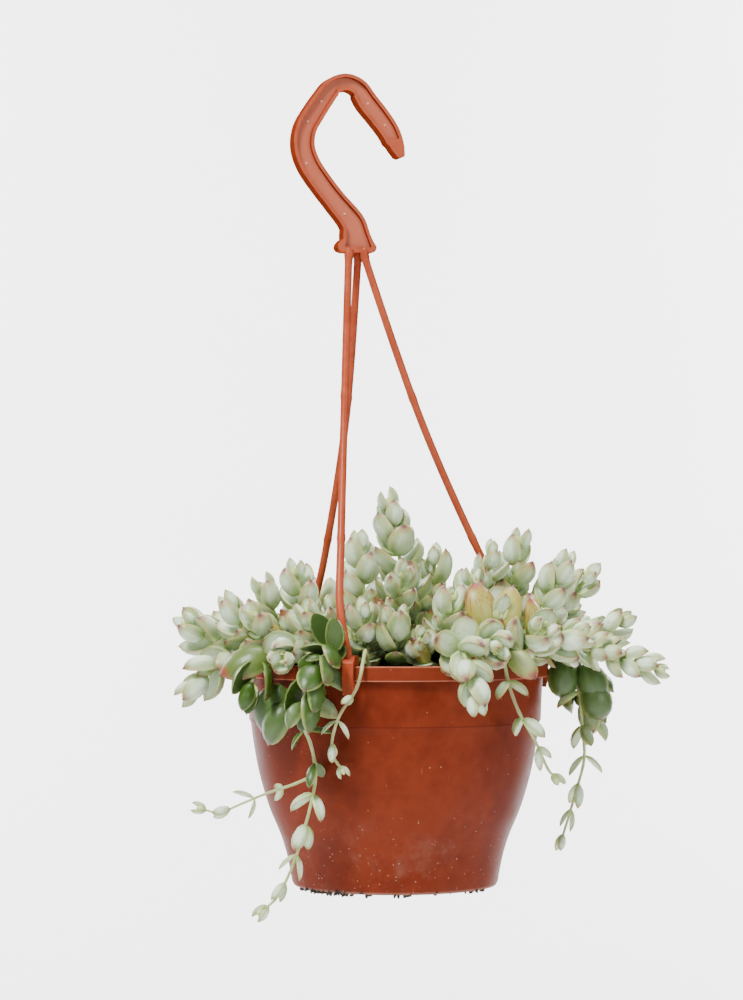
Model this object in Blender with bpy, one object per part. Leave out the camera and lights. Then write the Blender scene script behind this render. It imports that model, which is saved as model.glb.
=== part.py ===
# A trailing cotyledon in a hanging plastic pot.
# The origin is the seat of the hook, where the load hangs, with +Z up.
# The front, with the most leaves, faces -Y.
# Sizes in this file are millimetres, and each mesh is scaled to metres when it is made.

import math
import random

import bpy
from mathutils import Matrix, Vector
from mathutils.bvhtree import BVHTree

TO_METRES = 0.001
GAP = 0.3                      # clearance between pieces that touch
LEAF_CLEARANCE = 0.35          # clearance between leaves of different stems
CURVE_STEPS = 12               # fine points between two given points of a route
CREASE = 35.0                  # edges sharper than this, in degrees, are shaded as creases
SOFT_CREASE = 60.0             # the same for the plant
CUT_OVER = 1.0                 # how far a cutter runs past the face that it cuts

# Pot
POT_AXIS = Vector((23.2, 9.0, 0.0))
RIM_TOP = -258.9               # height of the rim below the hook seat
RIM_RADIUS = 70.0
RIM_BAND = 6.6                 # height of the band round the rim
POT_HEIGHT = 101.4
POT_WALL = 1.3
POT_SIDES = 36
FOOT_INSIDE = 43.6             # inner radius of the foot ring
FOOT_LIFT = 1.6                # how far the floor stands above the foot ring
FOOT_BEVEL = 0.8
DRAIN_HOLES = 6
DRAIN_RADIUS = 3.5
DRAIN_CIRCLE = 31.0
DRAIN_SIDES = 10
DRAIN_CUT = 4.0                # half the height of a drain hole's cutter

# Soil
SOIL_EDGE = -11.0              # height of the soil at the wall, from the rim top
SOIL_CROWN = 5.0               # how much higher the soil stands in the middle
SOIL_SIDES = 18
ROOT_DEPTH = 13.0              # how deep a stem stands in its hole

# Hanger
PLATE_THICK = 7.0
PLATE_TURN = math.radians(18.0)
WEB_RECESS = 2.0
RIM_OF_PLATE = 1.8
ROD_RADIUS = 1.75
ROD_SIDES = 8
FOOT_THICK = 6.9               # the plate's foot
CLIP_WIDTH = 5.2
CLIP_ANGLES = (253.0, 13.0, 133.0)

# Plant
STEM_SIDES = 4
TRAIL_SIDES = 5
STEM_THINNING = 0.4            # how much thinner a stem is at its tip
STEM_RADIUS = {"upright": 1.35, "trailing": 1.0, "branch": 0.7}
KEPT_FACES = 0.78              # share of a leafy stem's faces kept after the join
FIRST_TILT, LAST_TILT = 66.0, 22.0   # of the oldest and the youngest leaves from their stem
SPREADS = {"right_gold": 0.5}  # shoots whose leaves stand more upright than the rest
LAST_PAIR = 0.985              # where the last pair of leaves sits along a stem
CROWDING = 0.9                 # how the pairs crowd towards the tip
LEAF_SIZES = (0.9, 0.1, 0.26)  # of the longest leaf: the oldest, the swell after it, the drop
DROP_CURVE = 2.5
TURN_DRAW = 0.2                # random turn and tilt of a leaf, in radians, and its size
TILT_DRAW = 0.16
SIZE_DRAW = (0.9, 1.08)


def smooth_route(points, count):
    """Evenly spaced points along a smooth curve through the given ones."""
    pts = [Vector(p) for p in points]
    pts = [2 * pts[0] - pts[1]] + pts + [2 * pts[-1] - pts[-2]]
    fine = []
    for a, b, c, d in zip(pts, pts[1:], pts[2:], pts[3:]):
        for i in range(CURVE_STEPS):
            t = i / CURVE_STEPS
            fine.append(0.5 * (2 * b + (c - a) * t + (2 * a - 5 * b + 4 * c - d) * t * t
                               + (3 * b - a - 3 * c + d) * t ** 3))
    fine.append(pts[-2])
    lengths = [0.0]
    for a, b in zip(fine, fine[1:]):
        lengths.append(lengths[-1] + (b - a).length)
    route = []
    k = 0
    for i in range(count):
        want = lengths[-1] * i / (count - 1)
        while k < len(fine) - 2 and lengths[k + 1] < want:
            k += 1
        part = (want - lengths[k]) / max(lengths[k + 1] - lengths[k], 1e-9)
        route.append(fine[k].lerp(fine[k + 1], min(part, 1.0)))
    return route


def route_at(route, share):
    """Point and direction at a share of the length of an evenly spaced route."""
    place = min(max(share, 0.0), 1.0) * (len(route) - 1)
    k = min(int(place), len(route) - 2)
    return route[k].lerp(route[k + 1], place - k), (route[k + 1] - route[k]).normalized()


def side_of(direction, hint):
    """A unit vector square to a direction, as near to the hint as it can be."""
    side = hint - direction * hint.dot(direction)
    if side.length < 1e-4:
        side = direction.orthogonal()
    return side.normalized()


def swept(route, sections):
    """A closed skin through one section of points at each point of a route."""
    verts, faces = [], []
    count = len(sections[0])
    tangents = []
    for i, point in enumerate(route):
        before = route[max(i - 1, 0)]
        after = route[min(i + 1, len(route) - 1)]
        tangents.append((after - before).normalized())
    across = side_of(tangents[0], Vector((1.0, 0.0, 0.0)))
    for point, tangent, section in zip(route, tangents, sections):
        across = side_of(tangent, across)
        other = tangent.cross(across)
        verts += [point + across * x + other * y for x, y in section]
    for k in range(len(route) - 1):
        for i in range(count):
            j = (i + 1) % count
            a, b = k * count, (k + 1) * count
            faces.append((a + i, a + j, b + j, b + i))
    faces.append(tuple(reversed(range(count))))
    faces.append(tuple(range(len(verts) - count, len(verts))))
    return verts, faces


def circle(radius, sides):
    return [(radius * math.cos(2 * math.pi * i / sides), radius * math.sin(2 * math.pi * i / sides))
            for i in range(sides)]


def tube(route, radii, sides):
    return swept(route, [circle(r, sides) for r in radii])


def turned(profile, sides, lift=None):
    """A solid turned round the Z axis from a profile of (radius, height)."""
    verts, rings, faces = [], [], []
    for radius, height in profile:
        if radius == 0.0:
            rings.append([len(verts)] * sides)
            verts.append(Vector((0.0, 0.0, height)))
        else:
            rings.append(list(range(len(verts), len(verts) + sides)))
            verts += [Vector((x, y, height)) for x, y in circle(radius, sides)]
    if lift:
        verts = [v + Vector((0.0, 0.0, lift(v))) for v in verts]
    for lower, upper in zip(rings, rings[1:]):
        for i in range(sides):
            j = (i + 1) % sides
            loop = (lower[i], lower[j], upper[j], upper[i])
            faces.append(tuple(dict.fromkeys(loop)))
    return verts, faces


def extruded(outline, width):
    """A plate with an outline in the XZ plane, centred on Y = 0."""
    count = len(outline)
    verts = [Vector((x, side * width / 2, z)) for side in (-1, 1) for x, z in outline]
    faces = [tuple(range(count)), tuple(reversed(range(count, 2 * count)))]
    for i in range(count):
        j = (i + 1) % count
        faces.append((j, i, count + i, count + j))
    return verts, faces


def placed(shape, matrix):
    verts, faces = shape
    return [matrix @ v for v in verts], faces


def make_object(name, shape, material=None, smooth_angle=None):
    verts, faces = shape
    mesh = bpy.data.meshes.new(name)
    mesh.from_pydata([v * TO_METRES for v in verts], [], faces)
    mesh.validate()
    obj = bpy.data.objects.new(name, mesh)
    bpy.context.scene.collection.objects.link(obj)
    if material:
        mesh.materials.append(material)
    if smooth_angle:
        mesh.shade_smooth()
        mesh.set_sharp_from_angle(angle=math.radians(smooth_angle))
    return obj


def joined(obj, others, operation="UNION", solver="EXACT"):
    """One Boolean of an object with a collection, applied, with the collection removed."""
    group = bpy.data.collections.new(obj.name + " pieces")
    bpy.context.scene.collection.children.link(group)
    for other in others:
        bpy.context.scene.collection.objects.unlink(other)
        group.objects.link(other)
    boolean = obj.modifiers.new("join", "BOOLEAN")
    boolean.operation = operation
    boolean.operand_type = "COLLECTION"
    boolean.collection = group
    boolean.solver = solver
    bpy.context.view_layer.objects.active = obj
    bpy.ops.object.modifier_apply(modifier=boolean.name)
    for other in list(group.objects):
        bpy.data.objects.remove(other, do_unlink=True)
    bpy.data.collections.remove(group)
    return obj


def lightened(obj, ratio):
    """Takes out the slivers that a join leaves, down to a share of the faces."""
    decimate = obj.modifiers.new("lighten", "DECIMATE")
    decimate.ratio = ratio
    decimate.use_collapse_triangulate = True
    bpy.context.view_layer.objects.active = obj
    bpy.ops.object.modifier_apply(modifier=decimate.name)
    return obj


def plain_material(name, colour, roughness):
    material = bpy.data.materials.new(name)
    material.use_nodes = True
    shader = material.node_tree.nodes["Principled BSDF"]
    shader.inputs["Base Color"].default_value = (*colour, 1.0)
    shader.inputs["Roughness"].default_value = roughness
    shader.inputs["Metallic"].default_value = 0.0
    material.diffuse_color = (*colour, 1.0)
    return material


# The pot. Heights are taken from the rim top and radii from the pot's axis.

POT_OUTSIDE = ((46.0, -101.4), (46.9, -99.8), (49.0, -88.9), (52.2, -78.4), (57.2, -66.5),
               (61.5, -52.3), (64.0, -40.0), (65.8, -27.6), (66.5, -26.4), (67.4, -RIM_BAND),
               (RIM_RADIUS, -RIM_BAND), (RIM_RADIUS, -0.6), (69.4, 0.0))
WALL_FROM, WALL_TO = -95.0, -30.0    # the heights between which the inside follows the outside
INSIDE_FLOOR = 45.2
INSIDE_TOP = ((65.2, -20.0), (66.1, -6.0))


def pot_inside():
    wall = [(r - POT_WALL, z) for r, z in POT_OUTSIDE if WALL_FROM < z < WALL_TO][::2]
    floor = -POT_HEIGHT + FOOT_LIFT + POT_WALL
    return [(0.0, floor), (INSIDE_FLOOR, floor)] + wall + list(INSIDE_TOP)


def pot_shape():
    bottom = FOOT_LIFT - POT_HEIGHT
    outside = [(0.0, bottom), (FOOT_INSIDE - FOOT_BEVEL, bottom), (FOOT_INSIDE, -POT_HEIGHT)]
    inside = [(INSIDE_TOP[-1][0], 0.0)] + list(reversed(pot_inside()))
    return turned(outside + list(POT_OUTSIDE) + inside, POT_SIDES)


def to_pot():
    return Matrix.Translation(POT_AXIS + Vector((0.0, 0.0, RIM_TOP)))


def make_pot():
    plastic = plain_material("pot plastic", (0.36, 0.075, 0.032), 0.45)
    pot = make_object("pot", placed(pot_shape(), to_pot()), plastic, CREASE)
    cutters = []
    for i in range(DRAIN_HOLES):
        turn = Matrix.Rotation(2 * math.pi * (i + 0.5) / DRAIN_HOLES, 4, "Z")
        hole = turned([(0.0, -DRAIN_CUT), (DRAIN_RADIUS, -DRAIN_CUT), (DRAIN_RADIUS, DRAIN_CUT),
                       (0.0, DRAIN_CUT)], DRAIN_SIDES)
        move = Matrix.Translation((DRAIN_CIRCLE, 0.0, FOOT_LIFT - POT_HEIGHT))
        cutters.append(make_object("drain cutter", placed(hole, to_pot() @ turn @ move)))
    return joined(pot, cutters, "DIFFERENCE")


# The soil fills the pot, a little higher in the middle, with a lumpy top.

SOIL_INSET = 0.9               # the soil's fewer sides need a little more room in the pot
SOIL_RADIUS = 65.0
SOIL_RINGS = (44.0, 20.0, 0.0)
LUMP_HEIGHT = 0.7
LUMP_WAVES = (0.31, 0.27, 0.13, 0.21)  # radians a millimetre


def soil_lift(vert):
    if vert.z < SOIL_EDGE - 1.0:
        return 0.0
    part = math.hypot(vert.x, vert.y) / SOIL_RADIUS
    a, b, c, d = LUMP_WAVES
    lumps = math.sin(vert.x * a) * math.cos(vert.y * b) + math.sin(vert.x * c + vert.y * d)
    return SOIL_CROWN * (1.0 - part * part) + LUMP_HEIGHT * lumps * (1.0 - part ** 6)


def soil_shape():
    side = [(r - SOIL_INSET, z) for r, z in pot_inside()[1:-1]]
    floor = pot_inside()[0][1] + GAP
    side = [(side[0][0], floor)] + side[1:]
    top = [(r, SOIL_EDGE) for r in (side[-1][0],) + SOIL_RINGS]
    return turned([(0.0, floor)] + side + top, SOIL_SIDES, soil_lift)


def make_soil(stems):
    earth = plain_material("soil", (0.035, 0.024, 0.016), 0.95)
    soil = make_object("soil", placed(soil_shape(), to_pot()), earth, CREASE)
    cutters = []
    for stem in stems:
        if not stem["rooted"]:
            continue
        foot = stem["route"][0]
        radius = stem["radius"] + GAP / math.cos(math.pi / stem["sides"])
        hole = tube([foot - Vector((0, 0, GAP)), foot + Vector((0, 0, 2 * ROOT_DEPTH))],
                    [radius] * 2, stem["sides"])
        cutters.append(make_object("stem hole", placed(hole, to_pot())))
    return joined(soil, cutters, "DIFFERENCE")


# The hanger. The plate's middle line is given in its own plane: across, and up from the seat.

PLATE_LINE = ((5.8, -70.6, 16.2), (5.1, -66.0, 13.3), (3.3, -59.2, 11.2), (-4.4, -50.2, 9.9),
              (-11.7, -41.4, 9.8), (-17.2, -33.4, 9.9), (-19.8, -25.4, 9.9), (-18.8, -17.5, 9.8),
              (-15.0, -10.6, 9.7), (-10.2, -3.4, 9.2), (-6.2, 1.6, 8.8), (0.2, 4.0, 8.4),
              (6.2, 1.8, 8.8), (10.4, -4.0, 9.7), (15.8, -10.2, 9.6), (21.0, -17.0, 9.0),
              (24.0, -23.4, 7.8), (26.0, -28.6, 4.4))
RECESS_FROM, RECESS_TO = 0, 16       # the points between which the web is recessed

# The plate's foot, with a round lobe at each end: across, and up from the seat.

FOOT_OUTLINE = ((-2.2, -67.4), (-3.8, -69.4), (-4.0, -71.2), (-3.0, -72.6), (-1.0, -73.2),
                (11.2, -73.2), (13.3, -72.8), (14.4, -71.6), (14.5, -70.0), (13.0, -67.8))

# The three rods, from the foot down to the clips: front, right and back.

ROD_ROUTES = (
    ((2.6, -1.6, -71.5), (2.0, -3.0, -80.0), (0.2, -18.0, -150.2), (-0.9, -38.0, -203.1),
     (-1.2, -51.0, -233.3), (3.0, -57.0, -257.0)),
    ((9.8, 0.6, -71.5), (11.0, 1.4, -80.0), (35.1, 10.0, -148.8), (61.5, 18.0, -208.3),
     (78.6, 21.5, -238.0), (88.6, 23.9, -257.0)),
    ((6.2, 3.0, -71.5), (6.0, 4.4, -80.0), (0.6, 25.0, -148.1), (-9.8, 45.0, -212.9),
     (-16.6, 52.6, -238.0), (-22.2, 58.2, -257.0)),
)
ROD_POINTS = 11

# A clip, from the side: radius from the pot's axis and height from the rim top.

CLIP_OUTLINE = ((63.6, -7.5), (65.4, -7.5), (65.4, 0.3), (70.35, 0.3), (70.35, -6.95),
                (67.9, -6.95), (67.9, -8.2), (69.6, -9.6), (70.2, -12.6), (71.3, -12.6),
                (72.4, -7.0), (72.4, 1.6), (70.8, 3.2), (69.4, 4.6), (64.6, 4.6), (63.6, 3.2))


def clip_shape(angle):
    outline = list(reversed(CLIP_OUTLINE))
    turn = Matrix.Rotation(math.radians(angle), 4, "Z")
    return placed(extruded(outline, CLIP_WIDTH), to_pot() @ turn)


def rod_shape(points):
    return tube(smooth_route(points, ROD_POINTS), [ROD_RADIUS] * ROD_POINTS, ROD_SIDES)


def plate_route(first, last, share):
    """Route and widths along the plate, in its own plane."""
    line = PLATE_LINE[first:last]
    return [Vector((x, 0.0, z)) for x, z, width in line], [width - share for x, z, width in line]


def ribbon(route, widths, low, high):
    """A flat band in the XZ plane, from one depth to another."""
    verts, faces = [], []
    for i, point in enumerate(route):
        along = (route[min(i + 1, len(route) - 1)] - route[max(i - 1, 0)]).normalized()
        across = Vector((along.z, 0.0, -along.x))
        for side, depth in ((-1, low), (1, low), (1, high), (-1, high)):
            verts.append(point + across * (side * widths[i] / 2) + Vector((0.0, depth, 0.0)))
    for k in range(len(route) - 1):
        for i in range(4):
            j = (i + 1) % 4
            faces.append((k * 4 + i, k * 4 + j, k * 4 + 4 + j, k * 4 + 4 + i))
    faces.append((3, 2, 1, 0))
    end = 4 * len(route) - 4
    faces.append((end, end + 1, end + 2, end + 3))
    return verts, faces


def make_hanger():
    plastic = plain_material("hanger plastic", (0.55, 0.15, 0.075), 0.4)
    turn = Matrix.Rotation(PLATE_TURN, 4, "Z")
    half = PLATE_THICK / 2
    route, widths = plate_route(0, len(PLATE_LINE), 0.0)
    hanger = make_object("hanger", placed(ribbon(route, widths, -half, half), turn), plastic)
    route, widths = plate_route(RECESS_FROM, RECESS_TO, 2 * RIM_OF_PLATE)
    cutters = []
    for low, high in ((-half - CUT_OVER, WEB_RECESS - half), (half - WEB_RECESS, half + CUT_OVER)):
        recess = ribbon(route, widths, low, high)
        cutters.append(make_object("recess cutter", placed(recess, turn)))
    pieces = [make_object("foot", placed(extruded(FOOT_OUTLINE, FOOT_THICK), turn))]
    pieces += [make_object("rod", rod_shape(points)) for points in ROD_ROUTES]
    pieces += [make_object("clip", clip_shape(angle)) for angle in CLIP_ANGLES]
    joined(hanger, pieces)
    joined(hanger, cutters, "DIFFERENCE")
    hanger.data.shade_smooth()
    hanger.data.set_sharp_from_angle(angle=math.radians(CREASE))
    return hanger


# A leaf is a boat: flat or hollow above, full below, with a narrow foot and a pointed tip.
# Its kinds give the width and depth for a length of 1, the fullness of the outline,
# the hollow of the upper face and the upward curl.

LEAF_KINDS = {
    "plump": (0.68, 0.42, 0.54, -0.07, 0.12),
    "boat": (0.66, 0.36, 0.60, 0.03, 0.18),
    "round": (0.84, 0.42, 0.50, -0.02, 0.12),
    "broad": (0.78, 0.26, 0.56, 0.05, 0.20),
    "old": (0.64, 0.22, 0.72, 0.04, 0.28),
    "slim": (0.52, 0.24, 0.85, 0.03, 0.16),
    "bud": (0.58, 0.40, 0.75, -0.06, 0.08),
}
LARGE_LEAF = 19.0
STATIONS_LARGE = (0.24, 0.52, 0.81)
STATIONS_SMALL = (0.32, 0.73)
LEAF_RING = 5
LEAF_KEEL = 0.6                # half the width of a leaf's flat underside, of its own half width
LEAF_BELOW = 0.8               # how much of its full depth the flat underside reaches
LEAF_TAPER = 0.8               # how the depth follows the width
UPPER_FACE = 0.02              # height of a flat upper face, for a length of 1


def leaf_width(share, fullness):
    return math.sin(math.pi * share) ** fullness


def leaf_ring(kind, length, share, grow):
    """Five points round a leaf: its two edges, two below and one on the upper face."""
    width, depth, fullness, hollow, curl = LEAF_KINDS[kind]
    spread = leaf_width(share, fullness)
    half = 0.5 * width * length * spread + grow
    below = -LEAF_BELOW * (depth * length * spread ** LEAF_TAPER + grow)
    keel = LEAF_KEEL * half
    middle = (UPPER_FACE - hollow * width * spread) * length + grow
    base = Vector((0.0, share * length, curl * length * share * share))
    return [base + Vector((x, 0.0, z)) for x, z in
            ((-half, grow), (-keel, below), (keel, below), (half, grow), (0.0, middle))]


def leaf_shape(kind, length, grow=0.0):
    """A leaf along +Y from its foot at the origin, with its upper face towards +Z."""
    stations = STATIONS_LARGE if length >= LARGE_LEAF else STATIONS_SMALL
    verts = [Vector((0.0, 0.0, 0.0))]
    for share in stations:
        verts += leaf_ring(kind, length, share, grow)
    verts.append(Vector((0.0, length + grow, LEAF_KINDS[kind][4] * length)))
    faces = []
    tip = len(verts) - 1
    last = tip - LEAF_RING
    for i in range(LEAF_RING):
        j = (i + 1) % LEAF_RING
        faces.append((0, 1 + j, 1 + i))
        for k in range(len(stations) - 1):
            a, b = 1 + k * LEAF_RING, 1 + (k + 1) * LEAF_RING
            faces += [(a + i, a + j, b + j), (a + i, b + j, b + i)]
        faces.append((last + i, last + j, tip))
    return verts, faces


def blade_of(shape):
    """The leaf without its narrow foot."""
    verts, faces = shape
    loop = tuple(range(LEAF_RING))
    kept = [tuple(i - 1 for i in face) for face in faces if 0 not in face]
    return verts[1:], kept + [loop]


def leaf_matrix(foot, axis, around, tilt, roll):
    """Places a leaf that leaves its stem at an angle, with its upper face to the stem's tip."""
    out = Matrix.Rotation(roll, 3, axis) @ around
    along = (axis * math.cos(tilt) + out * math.sin(tilt)).normalized()
    up = side_of(along, axis)
    across = along.cross(up)
    turn = Matrix((across, along, up)).transposed().to_4x4()
    return Matrix.Translation(foot) @ turn


# How a leaf gives way where it would touch another stem: (tilt, roll) in degrees and size.

GIVING_WAY = ((0, 0, 1.0), (-9, 0, 1.0), (0, 14, 1.0), (0, -14, 1.0), (9, 0, 0.95), (-18, 0, 0.92),
              (-12, 18, 0.9), (-12, -18, 0.9), (-26, 0, 0.85), (0, 28, 0.84), (0, -28, 0.84),
              (12, 12, 0.8), (12, -12, 0.8), (-32, 12, 0.75), (-32, -12, 0.75), (-8, 0, 0.7),
              (0, 38, 0.68), (0, -38, 0.68), (-36, 0, 0.62), (-20, 24, 0.58), (-20, -24, 0.58))


class Keeper:
    """Remembers the shapes already placed, and tells whether a new one would touch them."""

    def __init__(self):
        self.kept = []

    def add(self, owner, shape):
        """Keeps a shape as its owner's."""
        verts, faces = shape
        low = Vector([min(v[i] for v in verts) for i in range(3)])
        high = Vector([max(v[i] for v in verts) for i in range(3)])
        self.kept.append((owner, low, high, BVHTree.FromPolygons(verts, faces)))

    def touches(self, owner, shape):
        """Whether a shape touches one that any other owner keeps."""
        verts, faces = shape
        low = Vector([min(v[i] for v in verts) for i in range(3)])
        high = Vector([max(v[i] for v in verts) for i in range(3)])
        tree = None
        for other, other_low, other_high, other_tree in self.kept:
            if other == owner:
                continue
            if any(low[i] > other_high[i] or high[i] < other_low[i] for i in range(3)):
                continue
            tree = tree or BVHTree.FromPolygons(verts, faces)
            if tree.overlap(other_tree):
                return True
        return False


# The leafy stems. Each row is a stem's name, its route from the soil to its tip,
# its leaf pairs, its longest leaf, the share of the route where leaves begin,
# the kinds of leaf from the oldest to the youngest, and the turn of its first pair.
# The points are millimetres from the pot's axis and the rim top. A name with a stroke
# is a branch that grows from the stem named before the stroke.

SHOOTS = (
    ("crown", ((4, -4), (5, -5, 12), (3, -6, 42), (-3, -7, 69)), 8, 17.0, 0.32,
     ("boat", "round", "round", "plump"), 20),
    ("crown_front", ((-4, -17), (-3, -22, 6), (0, -29, 26), (3, -38, 38)), 5, 15.5, 0.42,
     ("boat", "plump", "plump"), 50),
    ("heart", ((18, 4), (18, 4, 12), (18, 2, 30), (18, 0, 44)), 4, 18.0, 0.46,
     ("broad", "boat", "boat"), 75),
    ("heart_front", ((30, -12), (31, -14, 8), (32, -18, 24), (34, -21, 35)), 4, 16.0, 0.42,
     ("broad", "boat", "plump"), 30),
    ("mid_front", ((20, -32), (21, -36, 4), (22, -44, 16), (24, -50, 28)), 5, 16.5, 0.38,
     ("broad", "plump", "plump"), 30),
    ("mid_low", ((7, -40), (8, -46, 1), (10, -54, 6), (11, -61, 11)), 3, 15.0, 0.34,
     ("broad", "boat", "plump"), 60),
    ("lip_front", ((25, -50), (26, -58, 4), (28, -73, 8), (31, -82, -1), (33, -84, -12)), 5, 16.0,
     0.44, ("round", "plump", "plump"), 45),
    ("lip_right", ((36, -42), (38, -50, 5), (41, -60, 9), (43, -68, 8)), 3, 15.5, 0.42,
     ("broad", "round", "plump"), 15),
    ("right_front", ((48, -30), (52, -36, 2), (58, -46, 10), (63, -57, 15)), 4, 20.0, 0.36,
     ("broad", "round", "boat"), 35),
    ("right_gold", ((37, -33), (39, -38, 4), (43, -46, 12), (45, -50, 19)), 3, 22.0, 0.30,
     ("broad", "broad", "boat"), 25),
    ("right_slim", ((36, -6), (38, -8, 10), (41, -13, 34), (43, -16, 48)), 3, 13.0, 0.60,
     ("slim", "boat", "bud"), 10),
    ("right_high", ((46, 4), (49, 1, 12), (53, -3, 34), (56, -5, 52)), 5, 16.5, 0.42,
     ("boat", "plump", "boat"), 60),
    ("right_tall", ((52, -8), (59, -9, 8), (68, -10, 26), (75, -12, 42)), 6, 16.5, 0.40,
     ("round", "plump", "plump"), 40),
    ("right_far", ((52, 25), (63, 28, 8), (77, 20, 24), (88, 11, 37)), 5, 16.5, 0.44,
     ("boat", "plump", "plump"), 15),
    ("right_low", ((54, -18), (62, -17, 6), (82, -16, 8), (95, -14, 12), (101, -13, 17)), 5, 17.0,
     0.44, ("broad", "boat", "boat"), 45),
    ("right_shoulder", ((50, -26), (58, -31, 6), (70, -38, 10), (79, -42, 12)), 4, 16.5, 0.46,
     ("round", "boat", "boat"), 20),
    ("right_wisp", ((52, -22), (61, -23, 6), (76, -26, 7), (94, -26, 5), (107, -24, 0),
                    (117, -22, -3)), 3, 13.0, 0.70, ("boat", "boat", "bud"), 80),
    ("right_under", ((56, 2), (65, 2, 6), (74, 3, 5), (83, 3, -6), (88, 2, -18), (90, 2, -28)), 4,
     17.0, 0.46, ("round", "round", "broad"), 20),
    ("arm_left", ((-31, -34), (-32, -38, 1), (-35, -44, 12), (-38, -49, 21)), 5, 16.5, 0.38,
     ("boat", "plump", "boat"), 65),
    ("arm_right", ((-13, -36), (-13, -42, 2), (-14, -50, 12), (-14, -55, 22)), 5, 15.5, 0.38,
     ("boat", "boat", "plump"), 25),
    ("left_high", ((-34, -14), (-38, -17, 8), (-42, -20, 24), (-44, -22, 38)), 5, 17.0, 0.38,
     ("boat", "plump", "plump"), 45),
    ("left_back", ((-40, 2), (-46, -2, 8), (-54, -6, 20), (-58, -8, 31)), 4, 16.0, 0.44,
     ("boat", "plump", "boat"), 10),
    ("left", ((-50, -12), (-58, -15, 5), (-67, -18, 12), (-73, -20, 23)), 5, 16.5, 0.40,
     ("broad", "plump", "boat"), 50),
    ("left_middle", ((-44, -24), (-50, -28, 5), (-58, -33, 12), (-62, -37, 20)), 4, 15.5, 0.40,
     ("boat", "boat", "plump"), 20),
    ("left_far", ((-54, 2), (-66, -1, 6), (-82, -7, 9), (-92, -11, 16)), 5, 17.0, 0.44,
     ("broad", "boat", "plump"), 40),
    ("left_low", ((-52, -22), (-61, -25, 5.5), (-70, -27, 5), (-80, -29, -2), (-90, -31, -10)), 5,
     17.5, 0.42, ("broad", "boat", "boat"), 55),
    ("lip_left", ((-36, -44), (-40, -53, 6), (-44, -62, 7), (-48, -71, 5)), 4, 17.0, 0.46,
     ("boat", "broad", "boat"), 40),
    ("under_left", ((-48, -34), (-52, -43, 6), (-59, -51, 3), (-63, -55, -8)), 3, 22.0, 0.44,
     ("old", "old", "broad"), 20),
    ("under_lip", ((-19, -45), (-26, -60, 6), (-32, -69, 4), (-37, -75, -6), (-40, -76, -16)), 3,
     21.0, 0.48, ("old", "old", "old"), 35),
    ("trail_left", ((-30, -50), (-34, -58, 5.5), (-39, -65, 4), (-43, -68, -8), (-42, -66, -22),
                    (-37, -64, -34), (-35, -63, -48), (-38, -63, -64), (-44, -64, -84),
                    (-51, -65, -99), (-57, -66, -105)), 8, 13.0, 0.30, ("slim", "boat", "slim"), 22),
    ("trail_left/side", ((-35, -63, -47), (-44, -64, -51), (-56, -65, -55), (-66, -66, -59),
                         (-76, -67, -63), (-83, -67, -62)), 4, 11.0, 0.30, ("slim", "slim", "bud"),
     10),
    ("trail_short", ((-11, -52), (-13, -62, 6), (-14, -69, 4), (-17, -73, -9), (-25, -71, -22),
                     (-28, -69, -36), (-24, -68, -44)), 4, 9.5, 0.55, ("slim", "slim", "bud"), 10),
    ("trail_thin", ((40, -42), (43, -49, 7), (46, -57, 7), (49, -62, -8), (54, -58, -21),
                    (61, -51, -33), (67, -46, -46), (70, -44, -49)), 4, 12.5, 0.45,
     ("boat", "boat", "slim"), 50),
    ("trail_right", ((59, -9), (67, -9, 5.5), (75, -8, 3), (83, -6, -12), (85, -5, -28),
                     (86, -5, -44), (82, -5, -60), (76, -5, -80)), 6, 13.0, 0.40,
     ("boat", "slim", "slim"), 70),
    ("back_crown", ((-12, 12), (-13, 14, 12), (-15, 16, 36), (-16, 17, 50)), 5, 17.0, 0.44,
     ("boat", "round", "plump"), 40),
    ("back_middle", ((12, 30), (13, 34, 8), (14, 42, 26), (14, 47, 38)), 4, 18.0, 0.42,
     ("broad", "boat", "plump"), 20),
    ("back_left", ((-24, 34), (-28, 38, 6), (-33, 46, 18), (-36, 52, 28)), 4, 18.0, 0.40,
     ("boat", "boat", "plump"), 60),
    ("back_right", ((38, 34), (42, 38, 6), (48, 46, 20), (52, 52, 31)), 4, 18.0, 0.40,
     ("broad", "boat", "plump"), 45),
    ("back_lip", ((2, 50), (2, 58, 5), (2, 72, 8), (1, 82, 0), (0, 85, -12)), 4, 18.0, 0.42,
     ("broad", "boat", "plump"), 30),
    ("back_far_left", ((-50, 22), (-60, 26, 5), (-74, 32, 7), (-84, 37, 14)), 4, 18.0, 0.40,
     ("broad", "boat", "boat"), 44),
    ("back_far_right", ((50, 29), (59, 34, 6), (74, 41, 7), (86, 47, 13)), 4, 18.0, 0.40,
     ("broad", "boat", "boat"), 35),
    ("back_under", ((33, 49), (37, 57, 6), (43, 66, 4), (47, 73, -7), (48, 74, -18)), 3, 20.0, 0.44,
     ("old", "broad", "old"), 15),
    ("trail_back", ((-18, 52), (-21, 61, 5.5), (-24, 69, 4), (-27, 73, -7), (-27, 72, -20),
                    (-25, 70, -40), (-28, 69, -60), (-33, 70, -78)), 5, 14.0, 0.36,
     ("boat", "slim", "slim"), 65),
)


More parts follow.
